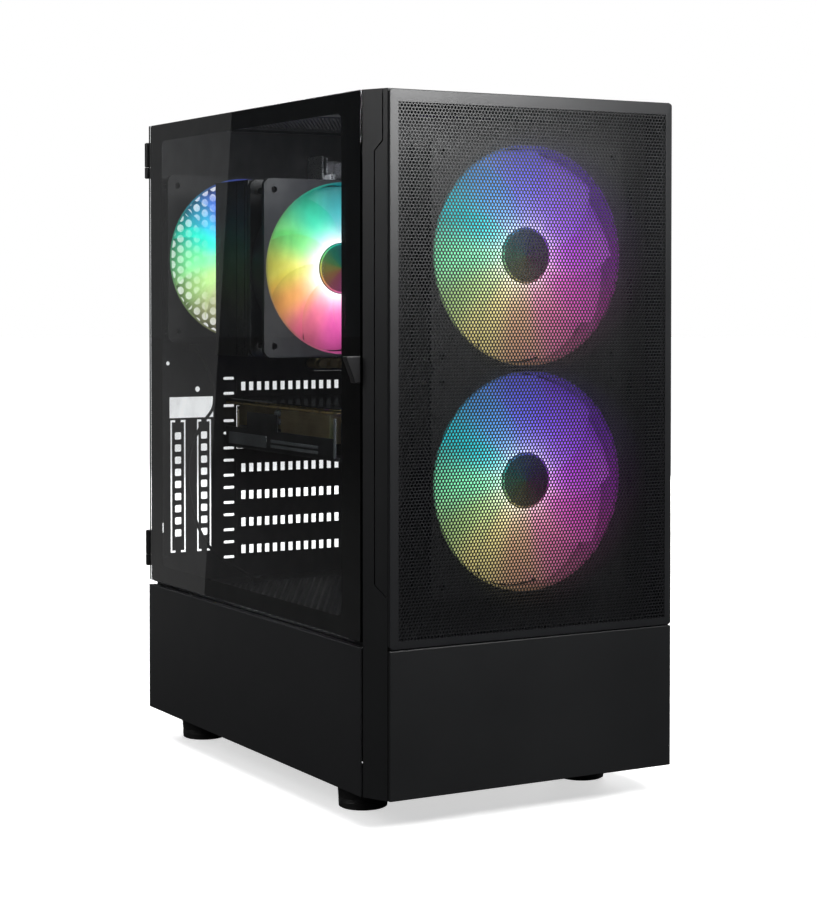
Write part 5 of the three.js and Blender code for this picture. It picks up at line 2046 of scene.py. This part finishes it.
def build_filters():
    """Top filter and the slide-out filter under the power supply."""
    low, high = corners("top_dust_filter")
    pitch = 3.0 * MM
    margin = 7 * MM
    columns = int((high.x - low.x - 2 * margin) / pitch)
    pitch_v = pitch * math.sqrt(3) / 2
    rows = int((high.y - low.y - 2 * margin) / pitch_v)
    centre = (low + high) / 2
    mesh = field_mesh(
        "top_filter_weave", hex_cell(pitch, 2.1 * MM, 0.5 * MM), columns, rows, pitch, pitch_v, pitch / 2,
        filter_mesh())
    mesh.transform(Matrix.Translation((centre.x, centre.y, high.z - 0.3 * MM)))
    publish_mesh(mesh, "top_filter_weave", filter_mesh(), "top_filter", ["top_dust_filter"])
    half_x = columns * pitch / 2 - pitch / 4
    half_y = (rows - 1) * pitch_v / 2 + pitch * 0.27
    bm = bmesh.new()
    add_sheet(
        bm, rounded(low.x, high.x, low.y, high.y, 6 * MM, 5),
        [rectangle(centre.x - half_x, centre.x + half_x, centre.y - half_y, centre.y + half_y)],
        facing("Z", low.z), high.z - low.z)
    publish(bm, "top_filter_frame", smooth_plastic(), "top_filter", ["top_dust_filter"])

    low, high = corners("psu_dust_filter")
    grip = 3 * MM
    thick = 2.9 * MM
    tray_high = Vector((high.x, high.y - grip, high.z))
    bm = bmesh.new()
    bars = 9
    holes = []
    for row in range(6):
        for column in range(bars):
            x0 = low.x + 6 * MM + column * (high.x - low.x - 12 * MM) / bars
            y0 = low.y + 6 * MM + row * (tray_high.y - low.y - 12 * MM) / 6
            holes.append(rectangle(
                x0 + 0.8 * MM, x0 + (high.x - low.x - 12 * MM) / bars - 0.8 * MM, y0 + 0.8 * MM,
                y0 + (tray_high.y - low.y - 12 * MM) / 6 - 0.8 * MM))
    add_sheet(
        bm, rounded(low.x, high.x, low.y, tray_high.y, 3 * MM), holes, facing("Z", high.z - thick), thick)
    middle = (low.x + high.x) / 2
    add_box(bm, (middle - 18 * MM, high.y - 4 * MM, low.z), (middle + 18 * MM, high.y, high.z), 0.8 * MM)
    publish(bm, "base_filter_tray", smooth_plastic(), "psu_filter", ["psu_dust_filter"])
    bm = bmesh.new()
    add_box(
        bm, (low.x + 5 * MM, low.y + 5 * MM, high.z - 1.6 * MM),
        (high.x - 5 * MM, tray_high.y - 5 * MM, high.z - 1.2 * MM))
    publish(bm, "base_filter_gauze", filter_mesh(), "psu_filter", ["psu_dust_filter"])


# ---- Lead ---------------------------------------------------------------------------------

LEAD_ROUTE = [
    (-80, 330, 282), (-76, 318, 268), (-74, 310, 253), (-76, 306, 239), (-85, 306, 227), (-93, 306, 211),
    (-96, 306, 195), (-95, 306, 180), (-91, 306, 162), (-83, 306, 144), (-71, 306, 130), (-57, 306, 121.5),
    (-42, 306, 112),
]


def build_lead():
    """The thin lead from the rear fan down to the shroud."""
    panel_low, panel_high = corners("front_mesh_panel")
    centre_x = (panel_low.x + panel_high.x) / 2
    points = [Vector((centre_x + x * MM, panel_low.y + y * MM, z * MM)) for x, y, z in LEAD_ROUTE]
    bm = bmesh.new()
    add_tube(bm, smooth_path(points, 6), 1.1 * MM, 12)
    for place in (0, -1):
        end = points[place]
        add_box(bm, end - Vector((3, 2.2, 2.2)) * MM, end + Vector((3, 2.2, 2.2)) * MM, 0.4 * MM)
    publish(bm, "fan_lead_sheath", sheath(), CASE, ["fan_lead"])


# ---- Stage --------------------------------------------------------------------------------


def area_light(name, place, target, size, power, size_y=None, roll=0.0):
    """A flat light aimed at a target, seen only by what it lights."""
    data = bpy.data.lights.new(name, "AREA")
    data.energy = power
    data.size = size
    if size_y:
        data.shape = "RECTANGLE"
        data.size_y = size_y
    light = bpy.data.objects.new(name, data)
    bpy.context.scene.collection.objects.link(light)
    light.location = place
    light.visible_camera = False
    light.visible_transmission = False
    light.rotation_mode = "QUATERNION"
    aim = (Vector(target) - Vector(place)).to_track_quat("-Z", "Y")
    light.rotation_quaternion = aim @ Quaternion((0, 0, 1), roll)


# Just past the two faces of one pane; the world counts one step more than a surface does.
PANE_DEPTH = 2.5


def seen_directly(tree, deepest=PANE_DEPTH):
    """1 for rays that come straight from the camera or straight through one pane, else 0."""
    path = tree.nodes.new("ShaderNodeLightPath")
    unbent = math_node(tree, "LESS_THAN", path.outputs["Ray Depth"], deepest)
    cut_through = math_node(tree, "GREATER_THAN", path.outputs["Transparent Depth"], 0.5)
    crossing = math_node(tree, "MAXIMUM", path.outputs["Is Transmission Ray"], cut_through)
    crossing = math_node(
        tree, "MULTIPLY", crossing, math_node(tree, "SUBTRACT", 1, path.outputs["Is Reflection Ray"]))
    through = math_node(tree, "MULTIPLY", crossing, unbent)
    return math_node(tree, "MAXIMUM", path.outputs["Is Camera Ray"], through)


def floor_paint():
    """Pale paper that the camera sees bright, and that throws little light back on the case."""
    material, tree, shader = new_material("Floor Paint")
    straight = seen_directly(tree)
    where = tree.nodes.new("ShaderNodeTexCoord")
    tone = tree.nodes.new("ShaderNodeTexNoise")
    tone.inputs["Scale"].default_value = 3
    tree.links.new(where.outputs["Object"], tone.inputs["Vector"])
    pale = math_node(tree, "MULTIPLY_ADD", tone.outputs[0], 0.01, 0.92)
    for scale, socket in ((0.04, "Base Color"), (0.0, "Emission Color")):
        level = math_node(tree, "MULTIPLY", pale, math_node(tree, "MULTIPLY_ADD", straight, 1 - scale, scale))
        colour = tree.nodes.new("ShaderNodeCombineColor")
        for channel in colour.inputs:
            tree.links.new(level, channel)
        tree.links.new(colour.outputs[0], shader.inputs[socket])
    shader.inputs["Emission Strength"].default_value = 0.65
    shader.inputs["Roughness"].default_value = 0.9
    shader.inputs["Specular IOR Level"].default_value = 0.1
    return material


# Name, place, target, side in metres and power in watts of each square light.
LIGHTS = (
    ("front_key", (0.14, -0.70, 0.60), (-0.1, -0.17, 0.44), 0.3, 5),
    ("left_fill", (-1.2, -1.0, 1.3), (-0.1, -0.1, 0.3), 0.9, 4),
    ("left_edge", (-1.1, -0.05, 0.75), (-0.1, -0.17, 0.33), 0.5, 3),
    ("card_wash", (-0.085, -0.125, 0.30), (-0.045, 0.10, 0.225), 0.04, 0.16),
    ("inside_wash", (-0.06, -0.09, 0.428), (0.04, 0.15, 0.33), 0.05, 0.2),
    ("rear_fill", (1.5, 1.7, 0.55), (0, 0.17, 0.2), 0.9, 26),
    ("rear_high", (-0.4, 1.6, 1.5), (0, 0.17, 0.2), 0.9, 16),
    ("right_fill", (1.9, -0.3, 1.2), (0.1, 0, 0.2), 1.2, 10),
)


def build_stage():
    """Camera, floor, world and lights."""
    stage = bpy.context.scene.tower_stage
    add_camera(stage)
    add_floor()
    light_world(stage.ambient)
    add_lights()
    bpy.context.scene.view_settings.view_transform = "Standard"


def add_camera(stage):
    """Camera placed from the lower left corner of the front."""
    corner_low = corners("front_lower_panel")[0]
    camera_data = bpy.data.cameras.new("camera")
    camera_data.lens = stage.lens
    camera_data.sensor_width = 36
    camera_data.shift_y = stage.shift
    camera_data.clip_end = 100
    camera = bpy.data.objects.new("camera", camera_data)
    bpy.context.scene.collection.objects.link(camera)
    camera.location = corner_low + Vector(stage.offset)
    camera.rotation_mode = "XYZ"
    camera.rotation_euler = (math.pi / 2 - stage.pitch, 0, -stage.yaw)
    bpy.context.scene.camera = camera


def add_floor():
    """Round pale floor that reaches well past the view."""
    bm = bmesh.new()
    add_lathe(bm, [(0, -0.02), (14, -0.02), (14, -0.0004), (0, -0.0004)], (0, 0, 0), "Z", 64)
    mesh = bpy.data.meshes.new("floor")
    bm.to_mesh(mesh)
    bm.free()
    floor = bpy.data.objects.new("floor", mesh)
    mesh.materials.append(floor_paint())
    bpy.context.scene.collection.objects.link(floor)


def light_world(ambient):
    """White behind the object, and a dim even light from all round for everything else."""
    world = bpy.data.worlds.new("world")
    bpy.context.scene.world = world
    world.use_nodes = True
    tree = world.node_tree
    tree.nodes.clear()
    out = tree.nodes.new("ShaderNodeOutputWorld")
    seen = tree.nodes.new("ShaderNodeBackground")
    seen.inputs["Color"].default_value = (1, 1, 1, 1)
    soft = tree.nodes.new("ShaderNodeBackground")
    soft.inputs["Color"].default_value = (0.9, 0.95, 1, 1)
    soft.inputs["Strength"].default_value = ambient
    straight = seen_directly(tree, PANE_DEPTH + 1)
    mix = tree.nodes.new("ShaderNodeMixShader")
    tree.links.new(straight, mix.inputs[0])
    tree.links.new(soft.outputs[0], mix.inputs[1])
    tree.links.new(seen.outputs[0], mix.inputs[2])
    tree.links.new(mix.outputs[0], out.inputs[0])


def add_lights():
    """Soft lights round the case, two small ones inside it, a card that the glass mirrors, and a wide sun."""
    for light in LIGHTS:
        area_light(*light)
    area_light(
        "pane_card", (-0.2405, 0.4622, 0.2675), (0.0070, 0.0277, 0.2675), 0.1, 0.032, 0.6, math.radians(-3.4))
    sun = bpy.data.objects.new("overhead", bpy.data.lights.new("overhead", "SUN"))
    sun.data.energy = 1.4
    sun.data.angle = math.radians(50)
    bpy.context.scene.collection.objects.link(sun)


# ---- Operators ----------------------------------------------------------------------------


def run(build):
    """Builds a group of pieces for an operator."""
    build()
    return {"FINISHED"}


class TOWER_OT_stage(bpy.types.Operator):
    """Make the floor, lights and camera"""

    bl_idname = "tower.stage"
    bl_label = "Stage"

    def execute(self, context):
        return run(build_stage)


class TOWER_OT_front(bpy.types.Operator):
    """Build the perforated front, the lower panel and the front moulding"""

    bl_idname = "tower.front"
    bl_label = "Front"

    def execute(self, context):
        return run(build_front)


class TOWER_OT_shells(bpy.types.Operator):
    """Build the skirt, the right cover, its screws and the top plate"""

    bl_idname = "tower.shells"
    bl_label = "Outer Shells"

    def execute(self, context):
        return run(build_shells)


class TOWER_OT_feet(bpy.types.Operator):
    """Build the four rubber feet"""

    bl_idname = "tower.feet"
    bl_label = "Feet"

    def execute(self, context):
        return run(build_feet)


class TOWER_OT_rear(bpy.types.Operator):
    """Build the perforated rear wall, the slot blanks and the screws of the rear fan and power supply"""

    bl_idname = "tower.rear"
    bl_label = "Rear Wall"

    def execute(self, context):
        return run(build_rear_wall)


class TOWER_OT_inner(bpy.types.Operator):
    """Build the front wall, board tray, base pan and shroud"""

    bl_idname = "tower.inner"
    bl_label = "Inner Steel"

    def execute(self, context):
        return run(build_inner_steel)


class TOWER_OT_door(bpy.types.Operator):
    """Build the glass door with its border, pull and hinges"""

    bl_idname = "tower.door"
    bl_label = "Glass Door"

    def execute(self, context):
        return run(build_door)


class TOWER_OT_fans(bpy.types.Operator):
    """Build the four lit fans"""

    bl_idname = "tower.fans"
    bl_label = "Lit Fans"

    def execute(self, context):
        return run(build_fans)


class TOWER_OT_board(bpy.types.Operator):
    """Build the main board, its parts, memory and ports"""

    bl_idname = "tower.board"
    bl_label = "Main Board"

    def execute(self, context):
        return run(build_board)


class TOWER_OT_cooler(bpy.types.Operator):
    """Build the tower cooler's fins, cover, heat pipes and base"""

    bl_idname = "tower.cooler"
    bl_label = "Cooler"

    def execute(self, context):
        return run(build_cooler)


class TOWER_OT_card(bpy.types.Operator):
    """Build the graphics card with its fans and bracket"""

    bl_idname = "tower.card"
    bl_label = "Graphics Card"

    def execute(self, context):
        return run(build_card)


class TOWER_OT_power(bpy.types.Operator):
    """Build the power supply, its inlet and switch, and the drive"""

    bl_idname = "tower.power"
    bl_label = "Power Supply"

    def execute(self, context):
        return run(build_power)


class TOWER_OT_top(bpy.types.Operator):
    """Build the top ports, the buttons and both dust filters"""

    bl_idname = "tower.top"
    bl_label = "Top Ports and Filters"

    def execute(self, context):
        return run(build_top)


class TOWER_OT_lead(bpy.types.Operator):
    """Build the fan lead"""

    bl_idname = "tower.lead"
    bl_label = "Fan Lead"

    def execute(self, context):
        return run(build_lead)


OPERATORS = (
    TOWER_OT_stage, TOWER_OT_front, TOWER_OT_shells, TOWER_OT_feet, TOWER_OT_rear, TOWER_OT_inner, TOWER_OT_door,
    TOWER_OT_fans, TOWER_OT_board, TOWER_OT_cooler, TOWER_OT_card, TOWER_OT_power, TOWER_OT_top, TOWER_OT_lead,
)


class TOWER_PT_panel(bpy.types.Panel):
    """Lists the tower's pieces"""

    bl_idname = "TOWER_PT_panel"
    bl_label = "Computer Tower"
    bl_space_type = "VIEW_3D"
    bl_region_type = "UI"
    bl_category = "Tower"

    def draw(self, context):
        layout = self.layout
        for settings in (
                context.scene.tower_shell, context.scene.tower_fans, context.scene.tower_paint,
                context.scene.tower_stage):
            column = layout.column()
            for name in settings.__annotations__:
                column.prop(settings, name)
        for operator in OPERATORS:
            layout.operator(operator.bl_idname)


SETTINGS = {
    "tower_shell": TowerShellSettings,
    "tower_fans": TowerFanSettings,
    "tower_paint": TowerPaintSettings,
    "tower_stage": TowerStageSettings,
}


def register():
    """Registers the settings, the operators and the panel."""
    for name, group in SETTINGS.items():
        bpy.utils.register_class(group)
        setattr(bpy.types.Scene, name, bpy.props.PointerProperty(type=group))
    for operator in OPERATORS:
        bpy.utils.register_class(operator)
    bpy.utils.register_class(TOWER_PT_panel)


def unregister():
    """Takes back what register added."""
    bpy.utils.unregister_class(TOWER_PT_panel)
    for operator in reversed(OPERATORS):
        bpy.utils.unregister_class(operator)
    for name, group in SETTINGS.items():
        delattr(bpy.types.Scene, name)
        bpy.utils.unregister_class(group)


def main():
    """Builds the tower with every operator in turn."""
    register()
    for operator in OPERATORS:
        family, name = operator.bl_idname.split(".")
        getattr(getattr(bpy.ops, family), name)()


if __name__ == "__main__":
    main()
